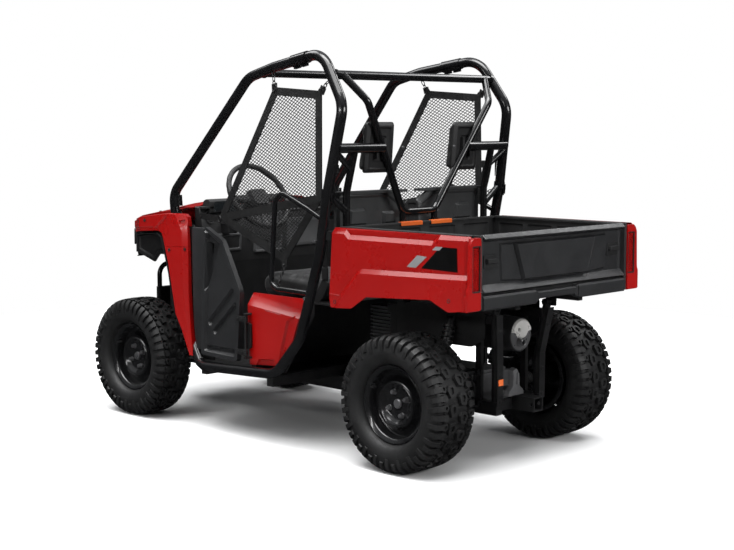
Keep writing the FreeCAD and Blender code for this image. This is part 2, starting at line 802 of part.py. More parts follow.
def final_drives():
    """Rear gear case, front gear case and the propeller shaft between them."""
    rear = box("rear_case", ("rear_axle - 95", "cab_rear + 190 - engine_length"), ("-110", "110"), ("240", "400"))
    front = box("front_case", ("front_axle - 65", "front_axle + 65"), ("-100", "100"), ("240", "380"))
    shaft = rod("propeller_shaft", "X", ("cab_rear + 190", "0", "262"), "front_axle - 65 - cab_rear - 190", "18")
    node("final_drives", group("case_group", [rear, fuse("front_drive", [front, shaft])]))


def muffler():
    """Round muffler behind the engine, with its pipe and tail tip."""
    can = rod("muffler_can", "X", ("bed_hinge - 22", "muffler_y", "muffler_height"), "muffler_length", "muffler_radius")
    pipe = rod("muffler_pipe", "X", ("bed_hinge - 22", "muffler_y", "muffler_height"),
               "cab_rear + 190 - engine_length - bed_hinge + 22", "22")
    tip = rod("muffler_tip", "X", ("bed_hinge - 52", "muffler_y + 20", "muffler_height - 30"), "60", "16")
    node("muffler", fuse("muffler_weld", [can, pipe, tip]))


# Cab inside
def floor_pan():
    """Floor and firewall."""
    floor = box("floor_sheet", ("cab_rear + 300", "firewall"), ("-panel_y + 40", "panel_y - 40"),
                ("floor_height", "floor_height + sheet"))
    wall = box("firewall_sheet", ("firewall", "firewall + sheet"), ("-cab_half", "cab_half"),
               ("floor_height", "980"))
    node("floor_pan", fuse("floor_weld", [floor, wall]))


def seat_base():
    """Hollow box that carries the seats, open at the back for the engine."""
    top = box("seat_deck", ("cab_rear - 10", "cab_front - 563"), ("-cab_half", "cab_half"),
              ("seat_height - 10", "seat_height - 2"))
    face = box("seat_face", ("cab_front - 571", "cab_front - 563"), ("-cab_half", "cab_half"),
               ("floor_height + sheet", "seat_height - 10"))
    side = prism("seat_side", "XZ", [
        ("cab_front - 563", "floor_height + sheet"),
        ("cab_front - 563", "seat_height - 10"),
        ("cab_rear + 100", "seat_height - 10"),
        ("cab_rear + 100", "seat_height - 60"),
        ("cab_rear + 300", "floor_height + sheet"),
    ], "cab_half - 8", "8")
    node("seat_base", fuse("seat_box", [top, face, side, mirror("seat_side_right", side)]))


def seats():
    """Two seat cushions, two seat backs and two headrests."""
    half = "seat_width / 2"
    cushion = prism("cushion", "XZ", [
        ("cab_rear + 45", "seat_height - 2 + seat_gap"),
        ("cab_front - 543", "seat_height - 2 + seat_gap"),
        ("cab_front - 533", "seat_height + cushion_thickness - 30"),
        ("cab_front - 573", "seat_height + cushion_thickness"),
        ("cab_rear + 35", "seat_height + cushion_thickness - 22"),
    ], f"seat_centre - {half}", "seat_width")
    both_sides("seat_cushion", cushion)
    back = prism("seat_back", "XZ", [
        ("cab_rear + 2", "seat_height - 2 + seat_gap"),
        ("cab_rear + 34", "seat_height - 2 + seat_gap"),
        ("cab_rear + 34", "seat_height + cushion_thickness"),
        ("cab_rear + 24", "seat_back_top - 40"),
        ("cab_rear - 10", "seat_back_top"),
        ("cab_rear - 52", "seat_back_top"),
        ("cab_rear - 56", "seat_back_top - 40"),
    ], f"seat_centre - {half}", "seat_width")
    both_sides("seat_back", back)
    low, high = "headrest_bar - headrest_height / 2", "headrest_bar + headrest_height / 2"
    pad = prism("headrest_pad", "XZ", [
        ("cab_rear - 90", low),
        ("cab_rear - 44", low),
        ("cab_rear - 38", f"{low} + 28"),
        ("cab_rear - 62", f"{high} - 22"),
        ("cab_rear - 75", high),
        ("cab_rear - 115", high),
        ("cab_rear - 123", f"{high} - 12"),
    ], "headrest_y - headrest_width / 2", "headrest_width")
    brackets = [box(f"headrest_bracket_{number}", ("cab_rear - 130 + seat_bar_radius + seat_gap", "cab_rear - 98"),
                    (y, f"{y} + 22"), ("headrest_bar - 15", "headrest_bar + 15"))
                for number, y in enumerate(("headrest_y - headrest_width / 2", "headrest_y + headrest_width / 2 - 22"))]
    both_sides("headrest", fuse("headrest_weld", [pad] + brackets))


def dash():
    """Dash across the cab under the hood's rear edge."""
    node("dash", prism("dash_body", "XZ", [
        ("cab_front - 6", "hood_rear - 42"),
        ("cab_front - 40", "hood_rear - 44"),
        ("cab_front - 70", "hood_rear - 170"),
        ("cab_front - 62", "hood_rear - 330"),
        ("cab_front - 61", "hood_rear - 330"),
        ("cab_front - 61", "981"),
        ("cab_front - 6", "981"),
    ], "-dash_half", "dash_half * 2"))


def column_frame():
    """The steering wheel's centre and the unit vector from it to the driver."""
    rake = math.radians(S.wheel_rake)
    centre = V(S.cab_front - 326, S.wheel_y, S.wheel_height)
    return centre, V(-math.cos(rake), 0, math.sin(rake))


def steering_column():
    """Column jacket from the dash to the wheel's hub."""
    centre, toward = column_frame()
    start = centre - toward * 40
    foot = centre - toward * 300
    jacket = Part.makeCylinder(22, (foot - start).Length, start, foot - start)
    bore = Part.makeCylinder(10 + S.running_gap, 80, start, foot - start)
    yoke = Part.makeBox(60, 60, 50, V(S.cab_front - 128, S.wheel_y - 30, 940))
    wall = Part.makeBox(300, 400, 400, V(S.cab_front - 70, S.wheel_y - 200, 800))
    node("steering_column", shaped("column", jacket.fuse(yoke).cut(bore).cut(wall)))


def steering_wheel():
    """Rim, three spokes, hub and stub shaft of the steering wheel."""
    centre, toward = column_frame()
    ring = Part.makeTorus(S.wheel_radius, S.wheel_grip, centre, toward)
    hub = Part.makeCylinder(45, 38, centre - toward * 34, toward)
    stub = Part.makeCylinder(10, 80, centre - toward * 100, toward)
    up = V(math.sin(math.radians(S.wheel_rake)), 0, math.cos(math.radians(S.wheel_rake)))
    pieces = [hub, stub]
    for angle in (90, 270, 180):
        along = FreeCAD.Rotation(toward, angle).multVec(up)
        pieces.append(Part.makeCylinder(11, S.wheel_radius, centre - toward * 8, along))
    node("steering_wheel", shaped("wheel_solid", ring.multiFuse(pieces)))


def driver_controls():
    """Brake and throttle pedals under the dash and the shift lever on it."""
    parts = []
    for name, y, size in (("brake", 330, 70), ("throttle", 420, 50)):
        arm = box(f"{name}_arm", ("firewall - 50", "firewall - seat_gap"), (f"{y} - 8", f"{y} + 8"), ("500", "520"))
        pad = box(f"{name}_pad", ("firewall - 60", "firewall - 48"), (f"{y} - {size / 2}", f"{y} + {size / 2}"),
                  ("420", "530"))
        parts.append(fuse(f"{name}_pedal", [arm, pad]))
    stick = rod("shift_stick", "Z", ("cab_front - 600", "0", "seat_height - 2"), "170", "8")
    knob = rod("shift_knob", "Z", ("cab_front - 600", "0", "seat_height + 150"), "60", "20")
    node("driver_controls", group("controls", parts + [fuse("shift_lever", [stick, knob])]))


# Body panels
def hood_stations():
    """The hood's sections from the dash to the nose: station, half width, crown height and skirt's foot."""
    front, nose, half, crown = S.cab_front, S.nose, S.hood_half, S.hood_rear
    foot = S.fascia_top + S.seat_gap
    return [
        (front - 5, half, crown, crown - 88),
        (front + 177, half - 28, crown - 25, crown - 112),
        (front + 377, half - 87, crown - 60, crown - 135),
        (nose - 185, S.hood_front_half, crown - 98, foot),
        (nose - 110, S.hood_front_half - 75, crown - 138, foot),
        (nose - 45, S.fascia_half, crown - 150, foot),
        (nose - 3, S.nose_half, crown - 158, foot),
    ]


def hood(copes):
    """Crowned hood with skirts, narrowing to the nose and notched for the front posts."""
    steps = 8
    wires = []
    for x, half, crown, foot in hood_stations():
        outer, inner = [], []
        for step in range(steps + 1):
            across = half * (2 * step / steps - 1)
            height = crown - 48 * (across / S.hood_half) ** 2
            outer.append(V(x, across, height))
            inner.append(V(x, across * (half - S.sheet) / half, height - S.sheet))
        edge = half - S.sheet
        loop = [V(x, -half, foot)] + outer + [V(x, half, foot), V(x, edge, foot)] + inner[::-1] + [V(x, -edge, foot)]
        wires.append(Part.makePolygon(loop + [loop[0]]))
    skin = shaped("hood_skin", Part.makeLoft(wires, True, True))
    node("hood", cut("hood", skin, *copes))


def fascia_plan(grow):
    """The fascia's plan outline on the left, from the fender's end to the middle, grown outward."""
    return [("nose - 185", f"hood_front_half + {grow}"),
            (f"nose - 110 + {grow} * 0.8", f"hood_front_half - 75 + {grow} * 0.6"),
            (f"nose - 45 + {grow} * 0.8", f"fascia_half + {grow} * 0.6"),
            (f"nose + {grow}", f"nose_half + {grow} * 0.3")]


def front_fascia():
    """Nose panel wrapping round the front, its underside, side housings and the slotted lower grille."""
    outer = fascia_plan("0")
    inner = fascia_plan("(-sheet)")
    outer_loop = outer + [(x, f"-({y})") for x, y in reversed(outer)]
    inner_loop = [(x, f"-({y})") for x, y in inner] + list(reversed(inner))
    wrap = prism("fascia_wrap", "XY", outer_loop + inner_loop, "fascia_base", "fascia_top - fascia_base")
    tray = prism("fascia_tray", "XY", outer_loop, "fascia_base", "sheet")
    plate = box("fascia_plate", ("nose - 130", "nose - 125"), ("-nose_half", "nose_half"), ("430", "fascia_base"))
    housing = prism("lamp_housing", "XZ", [
        ("nose - 185", "fascia_top"),
        ("nose - 188", "824"),
        ("nose - 340", "779"),
        ("nose - 383", "824"),
        ("nose - 435", "824"),
        ("nose - 435", "fascia_top"),
    ], "hood_front_half - sheet", "sheet")
    slots = [box(f"grille_slot_{number}", ("nose - 140", "nose + 10"), ("-90", "90"), (f"{height}", f"{height} + 16"))
             for number, height in enumerate((640, 672, 704, 736, 826, 858, 890, 922))]
    whole = fuse("fascia_weld", [wrap, tray, plate, housing, mirror("lamp_housing_right", housing)])
    node("front_fascia", cut("fascia", whole, *slots))


def headlamps():
    """Two lamp lenses on the fascia's corners."""
    near = "nose - 174", "hood_front_half - 11"
    far = "nose - 121", "hood_front_half - 64"
    lens = prism("lamp_lens", "XY", [
        (f"{near[0]} + seat_gap", f"{near[1]} + seat_gap"),
        (f"{far[0]} + seat_gap", f"{far[1]} + seat_gap"),
        (f"{far[0]} + 14", f"{far[1]} + 16"),
        (f"{near[0]} + 14", f"{near[1]} + 16"),
    ], "860", "90")
    pair("headlamps", lens)


def fenders(cope):
    """Front fenders: side wall, sloping top and the return along the rear edge."""
    edge = "body_y - sheet"
    plan_out = [("cab_front - 220", "body_y"), ("front_axle - 77", "body_y"), ("front_axle + 93", "body_y - 128"),
                ("nose - 185", "body_y - 184")]
    plan_in = [("nose - 190", "body_y - 189"), ("front_axle + 89", "body_y - 133"), ("front_axle - 79", edge),
               ("cab_front - 220", edge)]
    side = prism("fender_side", "XY", plan_out + plan_in, "340", "760")
    crest = [("cab_front - 157", "1045"), ("cab_front - 114", "1056"), ("cab_front + 11", "1057"),
             ("front_axle - 86", "1030"), ("nose - 180", "988")]
    outline = prism("fender_outline", "XZ", [("cab_front - 201", "360"), ("cab_front - 167", "1005")] + crest + [
        ("nose - 180", "930"),
        ("front_axle - 55", "958"),
        ("front_axle - 233", "970"),
        ("front_axle - 257", "958"),
        ("front_axle - 267", "937"),
        ("front_axle - 284", "880"),
        ("front_axle - 307", "807"),
        ("front_axle - 330", "703"),
        ("front_axle - 361", "558"),
        ("front_axle - 409", "482"),
        ("cab_front - 181", "360"),
    ], "300", "400")
    wall = overlap("fender_wall", side, outline)
    strip = prism("fender_strip", "XZ", crest + [(x, f"{z} - sheet") for x, z in reversed(crest)], "380", "220")
    inner_plan = [("nose - 185", "hood_front_half + 3"), ("cab_front + 377", "hood_half - 84"),
                  ("cab_front + 177", "hood_half - 25"), ("cab_front - 2", "hood_half + 3"),
                  ("cab_front - 20", "hood_half - 18"), ("cab_front - 220", "hood_half - 18")]
    plan = prism("fender_plan", "XY", plan_out + inner_plan, "900", "200")
    top = overlap("fender_top", strip, plan)
    back = prism("fender_return", "XZ", [("cab_front - 196", "470"), ("cab_front - 167", "1005"),
                                         ("cab_front - 157", "1041"), ("cab_front - 152", "1041"),
                                         ("cab_front - 162", "1005"), ("cab_front - 191", "470")],
                 "body_y - 40", "40")
    both_sides("fender", cut("fender", fuse("fender_weld", [wall, top, back]), cope))


def side_panels():
    """Red panels under the seats, behind the doors, with the door hinge posts."""
    outline = prism("side_outline", "XZ", [
        ("hinge_x - 3", "seat_height + 14"), ("cab_rear + 145", "seat_height + 11"),
        ("cab_rear + 118", "seat_height - 32"), ("cab_rear + 228", "382"), ("hinge_x + 8", "362"),
    ], "panel_y - 50", "60")
    lean = prism("side_section", "YZ", [
        ("panel_y", "350"), ("panel_y", "seat_height - 38"), ("panel_y - 26", "seat_height + 16"),
        ("panel_y - 26 - sheet", "seat_height + 16"), ("panel_y - sheet", "seat_height - 39"),
        ("panel_y - sheet", "350"),
    ], "cab_rear + 100", "hinge_x - cab_rear")
    skin = overlap("side_skin", lean, outline)
    post = box("hinge_post_bar", ("hinge_x - 32", "hinge_x - 2"), ("cab_half + 18", "panel_y - sheet"),
               ("floor_height + sheet", "seat_height - 44"))
    brackets = [box(f"hinge_bracket_{number}", ("hinge_x - 12", "hinge_x + 8"), ("panel_y - sheet", "body_y + 14"),
                    (height, f"{height} + 8")) for number, height in enumerate(("395", "hinge_high + 36"))]
    shelf = box("side_shelf", ("cab_rear + 160", "hinge_x - 10"), ("cab_half", "panel_y - sheet"),
                ("seat_height - 60", "seat_height - 55"))
    pin = rod("door_pin", "Z", ("hinge_x", "body_y + 6", "395"), "hinge_high - 351", "6")
    pair("side_panels", fuse("side_weld", [skin, post, shelf, pin] + brackets))


def doors():
    """Doors hinged at the rear, each one whole panel with two hinge barrels."""
    panel = prism("door_panel", "XZ", [
        ("cab_front - 240", "door_bottom + 8"),
        ("cab_front - 278", "door_top"),
        ("cab_front - 408", "door_top - 61"),
        ("hinge_x + 44", "door_top - 301"),
        ("hinge_x + 71", "door_bottom"),
    ], "body_y - door_thickness", "door_thickness")
    skin = "body_y - 8"
    inset = prism("door_inset", "XZ", [
        ("cab_front - 264", "door_bottom + 34"), ("cab_front - 293", "door_top - 52"),
        ("cab_front - 393", "door_top - 94"), ("hinge_x + 71", "door_top - 309"), ("hinge_x + 96", "door_bottom + 26"),
    ], skin, "20")
    pocket = prism("door_pocket", "XZ", [
        ("cab_front - 270", "door_top - 330"), ("cab_front - 285", "door_top - 230"),
        ("cab_front - 371", "door_top - 96"), ("cab_front - 300", "door_top - 80"),
    ], "body_y - 26", "40")
    grooves = [prism(f"door_groove_{number}", "XZ", [
        (f"cab_front - 246 - {back}", f"door_top - 494 - {drop}"),
        (f"cab_front - 464 - {back} / 2", f"door_top - 298 - {drop}"),
        (f"cab_front - 464 - {back} / 2", f"door_top - 272 - {drop}"),
        (f"cab_front - 246 - {back}", f"door_top - 468 - {drop}"),
    ], "body_y - 16", "30") for number, (back, drop) in enumerate(((40, 0), (100, 66)))]
    barrels = []
    for number, height in enumerate(("408", "hinge_high")):
        barrel = rod(f"door_barrel_{number}", "Z", ("hinge_x", "body_y + 6", height), "30", "12")
        leaf = box(f"door_leaf_{number}", ("hinge_x", "hinge_x + 70"), ("body_y - 4", "body_y + 5"),
                   (height, f"{height} + 30"))
        barrels += [barrel, leaf]
    bore = rod("door_bore", "Z", ("hinge_x", "body_y + 6", "380"), "260", "6 + running_gap")
    pressed = cut("door_pressed", panel, inset, pocket, *grooves)
    both_sides("door", cut("door", fuse("door_weld", [pressed] + barrels), bore))


def net_corners():
    """The net's corners: top front, top rear, rear, lowest and front."""
    rear, y, top = S.cab_rear, S.net_y, S.roof_height
    return [(rear + 342, y - 31, top - 132), (rear + 6, y - 7, top - 155), (rear, y, 1164), (rear + 260, y - 15, 863),
            (S.cab_front - 306, y - 30, 1043)]


def nets(cope):
    """Window nets as thin folded sheets with the clips that hold them to the roll frame."""
    top_front, top_rear, rear, low, front = corners = net_corners()
    thickness = V(0, S.net_gauge, 0)
    faces = [Part.makePolygon([V(*p) - thickness / 2 for p in (*trio, trio[0])])
             for trio in ((top_front, top_rear, rear), (top_front, rear, low), (top_front, low, front))]
    sheets = [Part.Face(face).extrude(thickness) for face in faces]
    ends = [(S.cab_front - 680, S.roof_y - 24, S.roof_height - 60),
            (S.cab_rear - 66, S.roof_y + 28, S.roof_height - 92),
            (S.cab_rear - 78, S.hoop_y + 1, 1170), (S.cab_rear + 265, S.hoop_y - 15, 745),
            (S.cab_front - 33, S.dash_half + S.net_clip + 0.1, 1045)]
    clips = [straight(corner, end, S.net_clip) for corner, end in zip(corners, ends)]
    whole = shaped("net_sheet", sheets[0].multiFuse(sheets[1:] + clips))
    hip = tube("cope_hip", hip_points(), S.hip_radius + S.seat_gap, 45)
    both_sides("net", cut("net", whole, cope, hip))


# Cargo bed
def bed_box():
    """Floor, front wall, side walls, corner posts, sill and the steel rails with the hinge pins."""
    top = "bed_floor + bed_floor_gauge"
    floor = box("bed_floor_sheet", ("tail + 20", "bed_front"), ("-bed_half", "bed_half"), ("bed_floor", top))
    wall = box("bed_front_wall", ("bed_front - bed_wall", "bed_front"), ("-bed_half", "bed_half"), (top, "bed_rim"))
    sides = mirrored_box("bed_inner_side", ("tail + 50", "bed_front - bed_wall"), ("bed_half - bed_wall", "bed_half"),
                         (top, "bed_rim - 4"))
    rims = mirrored_box("bed_rim_flange", ("tail + 50", "bed_front"), ("bed_half - bed_wall", "bed_half + 28"),
                        ("bed_rim - 10", "bed_rim"))
    inner_posts = mirrored_box("corner_inner", ("tail", "tail + 55"), ("gate_half + 5", "bed_half + 1"),
                               ("sill_bottom", "bed_rim"))
    outer_posts = mirrored_box("corner_outer", ("tail + 13", "tail + 55"), ("bed_half + 1", "bed_side_y - 19"),
                               ("sill_bottom + 20", "bed_rim - 72"))
    sill = prism("bed_sill", "XZ", [("tail", "sill_bottom"), ("tail", "sill_top - 24"), ("tail + 20", "sill_top"),
                                    ("tail + 35", "sill_top"), ("tail + 35", "sill_bottom")],
                 "-gate_half - 6", "gate_half * 2 + 12")
    notch = box("sill_notch", ("tail - 10", "tail + 60"), ("-150", "150"), ("sill_bottom - 5", "sill_bottom + 26"))
    rails = mirrored_box("bed_rail", ("tail + 45", "bed_front - 30"), ("bed_hinge_y + 25", "bed_hinge_y + 55"),
                         ("bed_floor - 50", "bed_floor"))
    member = box("bed_member", ("bed_front - 100", "bed_front - 60"), ("-bed_hinge_y - 55", "bed_hinge_y + 55"),
                 ("upper_rail + 60", "bed_floor"))
    plates = mirrored_box("bed_hinge_plate", ("bed_hinge - 27", "bed_hinge + 27"),
                          ("bed_hinge_y + 25", "bed_hinge_y + 37"), ("bed_hinge_height - 20", "bed_floor"))
    pin = rod("bed_pin", "Y", ("bed_hinge", "bed_hinge_y - 22", "bed_hinge_height"), "59", "pin_radius")
    gate_bore = rod("gate_bore", "Y", ("tail + 11", "-bed_half + 5", "gate_base + 4"), "(bed_half - 5) * 2",
                    "5 + running_gap")
    whole = fuse("bed_weld", [floor, wall] + sides + rims + inner_posts + outer_posts + [sill] + rails + [member]
                 + plates + [pin, mirror("bed_pin_right", pin)])
    node("bed_box", cut("bed", whole, notch, gate_bore))


def bed_sides():
    """Red side skins of the bed with a chamfered top and the wheel arch cut out."""
    out, skin = "bed_side_y", "sheet"
    chamfer = "bed_half + 46"
    profile = [(out, "bed_floor - 35"), (out, "bed_floor + 100"), (f"{out} - 10", "bed_floor + 120"),
               (f"{out} - 10", "bed_rim - 46"), (f"{out} - 24", "bed_rim - 30"), (chamfer, "bed_rim")]
    back = [(f"{y} - {skin}", f"{z} - 1") for y, z in reversed(profile[1:])] + [(f"{out} - {skin}", "bed_floor - 35")]
    section = prism("bed_section", "YZ", profile + back, "tail", "bed_length + 10")
    outline = prism("bed_outline", "XZ", [
        ("bed_front - 2", "bed_rim"),
        ("bed_front + 18", "bed_floor - 31"),
        ("bed_front + 9", "bed_floor - 73"),
        ("rear_axle + 233", "bed_floor - 64"),
        ("rear_axle + 141", "bed_floor - 6"),
        ("rear_axle - 229", "bed_floor + 13"),
        ("rear_axle - 328", "bed_floor - 30"),
        ("tail + 37", "bed_floor - 22"),
        ("tail", "bed_floor - 22"),
        ("tail", "bed_rim"),
    ], "400", "300")
    skin_body = overlap("bed_skin", section, outline)
    corners = [box(f"bed_corner_{number}", ("tail", "tail + 13 - seat_gap"),
                   ("bed_half + 1 + seat_gap", f"{out} - {inward}"), span)
               for number, (inward, span) in enumerate(((3, ("bed_floor - 22", "bed_floor + 54")),
                                                        (27, ("bed_floor + 245", "bed_rim - 8"))))]
    lugs = [box(f"bed_skin_lug_{number}", (x, f"{x} + 30"), ("bed_half + 0.3", "bed_side_y - 12"),
                ("bed_floor + 135", "bed_floor + 175"))
            for number, x in enumerate(("bed_front - 60", "tail + 120"))]
    pair("bed_sides", fuse("bed_skin_weld", [skin_body] + lugs + corners))


def tail_lamps():
    """Upright lamp lenses on the corner posts."""
    lens = box("lamp_block", ("tail", "tail + 13 - seat_gap"), ("bed_half + 6", "bed_half + 54"),
               ("bed_floor + 55", "bed_floor + 244"))
    pair("tail_lamps", lens)


def tailgate():
    """Tailgate on pins at its lower corners, with a raised centre panel."""
    slab = box("gate_slab", ("tail + 18", "tail + 5 + gate_thickness"), ("-gate_half", "gate_half"),
               ("gate_base", "bed_rim + 3"))
    lip = prism("gate_lip", "XZ", [("tail + 1", "bed_rim - 42"), ("tail + 4", "bed_rim + 3"), ("tail + 20", "bed_rim + 3"),
                                   ("tail + 20", "bed_rim - 54")], "-gate_half", "gate_half * 2")
    ends = mirrored_box("gate_end", ("tail + 5", "tail + 20"), ("gate_half - 24", "gate_half"),
                        ("gate_base", "bed_rim - 40"))
    raised = prism("gate_raised", "YZ", [("-255", "gate_base"), ("255", "gate_base"), ("295", "gate_base + 190"),
                                         ("-295", "gate_base + 190")], "tail + 1", "20")
    pins = [rod(f"gate_pin_{number}", "Y", ("tail + 11", start, "gate_base + 4"), "20", "5")
            for number, start in enumerate(("gate_half - 5", "-gate_half - 15"))]
    node("tailgate", fuse("gate_weld", [slab, lip, raised] + ends + pins))


def build():
    """Every sub-part of the vehicle."""
    copes = hoop_tools()
    side_hoops()
    cab_cross_frame(copes)
    lower_frame(copes)
    rear_frame(copes)
    front_frame()
    front_bumper()
    skid_plate()
    arms("front_arms", S.front_axle, S.front_pivot_half, S.kingpin_y)
    arms("rear_arms", S.rear_axle, S.rear_pivot_half, S.rear_carrier_y)
    shocks()
    knuckles()
    rear_carriers()
    steering_rack()
    drive_shafts()
    wheels()
    engine_block()
    final_drives()
    muffler()
    floor_pan()
    seat_base()
    seats()
    dash()
    steering_column()
    steering_wheel()
    driver_controls()
    hood(copes)
    front_fascia()
    headlamps()
    fenders(copes[0])
    side_panels()
    doors()
    nets(copes[0])
    bed_box()
    bed_sides()
    tail_lamps()
    tailgate()


def check():
    """Stop if an object failed or a sub-part is empty or broken."""
    doc.recompute()
    for thing in doc.Objects:
        if {"Invalid", "Error"} & set(thing.State):
            raise ValueError(f"{thing.Name} failed: {thing.State}")
    for thing in nodes:
        shape = thing.Shape
        if shape.isNull() or not shape.isValid() or not shape.Solids:
            raise ValueError(f"{thing.Label} is empty or broken")


def write():
    """One STEP file for each sub-part."""
    os.makedirs("parts", exist_ok=True)
    for thing in nodes:
        thing.Shape.exportStep(f"parts/{thing.Label}.step")
        print(f"{thing.Label}: {len(thing.Shape.Solids)} solid, {thing.Shape.Volume / 1e6:.2f} litres")


build()
check()
write()
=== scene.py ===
import json
import math

import bmesh
import bpy
from mathutils import Matrix, Vector, geometry


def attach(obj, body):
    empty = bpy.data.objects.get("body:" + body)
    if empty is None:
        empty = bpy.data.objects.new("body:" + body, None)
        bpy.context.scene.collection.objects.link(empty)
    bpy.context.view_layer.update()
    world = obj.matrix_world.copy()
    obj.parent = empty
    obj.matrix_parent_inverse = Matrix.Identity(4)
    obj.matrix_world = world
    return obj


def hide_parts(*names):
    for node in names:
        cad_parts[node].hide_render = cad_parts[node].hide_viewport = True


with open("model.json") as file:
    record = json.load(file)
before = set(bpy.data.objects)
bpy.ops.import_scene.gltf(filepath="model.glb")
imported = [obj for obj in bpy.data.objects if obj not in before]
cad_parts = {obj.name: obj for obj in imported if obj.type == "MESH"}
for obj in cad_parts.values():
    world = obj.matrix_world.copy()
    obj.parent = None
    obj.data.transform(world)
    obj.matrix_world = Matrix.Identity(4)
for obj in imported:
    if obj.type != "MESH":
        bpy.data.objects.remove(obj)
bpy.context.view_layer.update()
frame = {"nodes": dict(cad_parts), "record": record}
MM = 0.001

# Camera and studio, in metres and degrees
LENS = 70.75
CAMERA_SPOT = (-5.086, 5.056, 1.512)
CAMERA_DOWN = 6.05
CAMERA_TURN = -135.81
FLOOR_SIZE = 9.6
SUN_POWER = 3.7
SUN_SPREAD = 50
SUN_TILT = (-15, -6, 0)
GLOW = {"From Min": 0.25, "From Max": 0.85, "To Min": 0.035, "To Max": 0.55}
# Soft lights: where each stands, what it faces, its size and its power
LIGHTS = {
    "overhead": ((-0.6, 0.6, 5.0), (-0.2, 0.1, 0.4), (5.0, 1.2), 150),
    "left_soft": ((-1.0, 6.5, 2.8), (0, 0, 0.7), (5, 0.35), 85),
    "tail_soft": ((-6.5, -1.0, 2.6), (0, 0, 0.7), (3.4, 1.2), 150),
    "front_top": ((3.1, 1.0, 5.0), (0, 0, 0.8), (2.4, 2.4), 90),
    "right_top": ((-1.6, -3.9, 4.5), (-0.8, 0, 0.8), (3.0, 1.0), 70),
}


def stand(name, data, spot, turn):
    """Puts a camera or light in the scene."""
    thing = bpy.data.objects.new(name, data)
    thing.location = spot
    thing.rotation_euler = turn
    bpy.context.collection.objects.link(thing)
    return thing


def make_camera():
    """The camera at the picture's viewpoint."""
    data = bpy.data.cameras.new("camera")
    data.lens = LENS
    data.sensor_width = 36
    turn = (math.radians(90 - CAMERA_DOWN), 0, math.radians(CAMERA_TURN))
    bpy.context.scene.camera = stand("camera", data, CAMERA_SPOT, turn)


def make_floor():
    """A pale floor that takes shadows but isn't mirrored in the paint."""
    bpy.ops.mesh.primitive_plane_add(size=FLOOR_SIZE, location=(0, 0, 0))
    floor = bpy.context.object
    floor.name = "floor"
    material = bpy.data.materials.new("floor")
    material.use_nodes = True
    shader = material.node_tree.nodes["Principled BSDF"]
    shader.inputs["Base Color"].default_value = (0.92, 0.92, 0.92, 1)
    shader.inputs["Roughness"].default_value = 0.8
    floor.data.materials.append(material)
    floor.visible_glossy = False


def make_surroundings():
    """White as the camera sees it, and a glow that grows towards the top for all other rays."""
    world = bpy.data.worlds.new("studio")
    world.use_nodes = True
    nodes, links = world.node_tree.nodes, world.node_tree.links
    seen = nodes["Background"]
    seen.inputs[0].default_value = (1, 1, 1, 1)
    glow = nodes.new("ShaderNodeBackground")
    glow.inputs[0].default_value = (0.95, 0.97, 1, 1)
    coords = nodes.new("ShaderNodeTexCoord")
    axes = nodes.new("ShaderNodeSeparateXYZ")
    grade = nodes.new("ShaderNodeMapRange")
    grade.interpolation_type = "SMOOTHSTEP"
    for field, number in GLOW.items():
        grade.inputs[field].default_value = number
    path = nodes.new("ShaderNodeLightPath")
    mix = nodes.new("ShaderNodeMixShader")
    links.new(coords.outputs["Generated"], axes.inputs[0])
    links.new(axes.outputs["Z"], grade.inputs["Value"])
    links.new(grade.outputs[0], glow.inputs[1])
    links.new(path.outputs["Is Camera Ray"], mix.inputs[0])
    links.new(glow.outputs[0], mix.inputs[1])
    links.new(seen.outputs[0], mix.inputs[2])
    links.new(mix.outputs[0], nodes["World Output"].inputs[0])
    bpy.context.scene.world = world
    bpy.context.scene.view_settings.view_transform = "Standard"


def make_lights():
    """A broad sun and five soft rectangular lights."""
    sun = bpy.data.lights.new("sky_soft", "SUN")
    sun.energy = SUN_POWER
    sun.angle = math.radians(SUN_SPREAD)
    stand("sky_soft", sun, (0, 0, 0), [math.radians(a) for a in SUN_TILT])
    for name, (spot, target, size, power) in LIGHTS.items():
        data = bpy.data.lights.new(name, "AREA")
        data.shape = "RECTANGLE"
        data.size, data.size_y = size
        data.energy = power
        stand(name, data, spot, (Vector(target) - Vector(spot)).to_track_quat("-Z", "Y").to_euler())


# Materials
def node_material(name):
    """A new material with its shader and object coordinates."""
    material = bpy.data.materials.new(name)
    material.use_nodes = True
    nodes = material.node_tree.nodes
    return material, nodes, material.node_tree.links, nodes["Principled BSDF"], nodes.new("ShaderNodeTexCoord")


def texture(nodes, links, coords, kind, **settings):
    """A texture node on object coordinates."""
    made = nodes.new(kind)
    for field, number in settings.items():
        made.inputs[field].default_value = number
    links.new(coords.outputs["Object"], made.inputs["Vector"])
    return made


def noise(nodes, links, coords, scale, detail=4.0):
    """The values of a noise texture."""
    return texture(nodes, links, coords, "ShaderNodeTexNoise", Scale=scale, Detail=detail,
                   Roughness=0.55).outputs["Fac"]


def weave(nodes, links, coords, scale):
    """The height of crossing threads, for webbing and cloth."""
    product = nodes.new("ShaderNodeMath")
    product.operation = "MULTIPLY"
    for number, direction in enumerate("XZ"):
        wave = texture(nodes, links, coords, "ShaderNodeTexWave", Scale=scale)
        wave.bands_direction = direction
        links.new(wave.outputs["Fac"], product.inputs[number])
    return product.outputs[0]


def ramp(nodes, links, source, low, high):
    """Two colours spread over a texture's middle values."""
    made = nodes.new("ShaderNodeValToRGB")
    for element, position, colour in zip(made.color_ramp.elements, (0.35, 0.65), (low, high)):
        element.position = position
        element.color = (*colour, 1)
    links.new(source, made.inputs[0])
    return made.outputs[0]


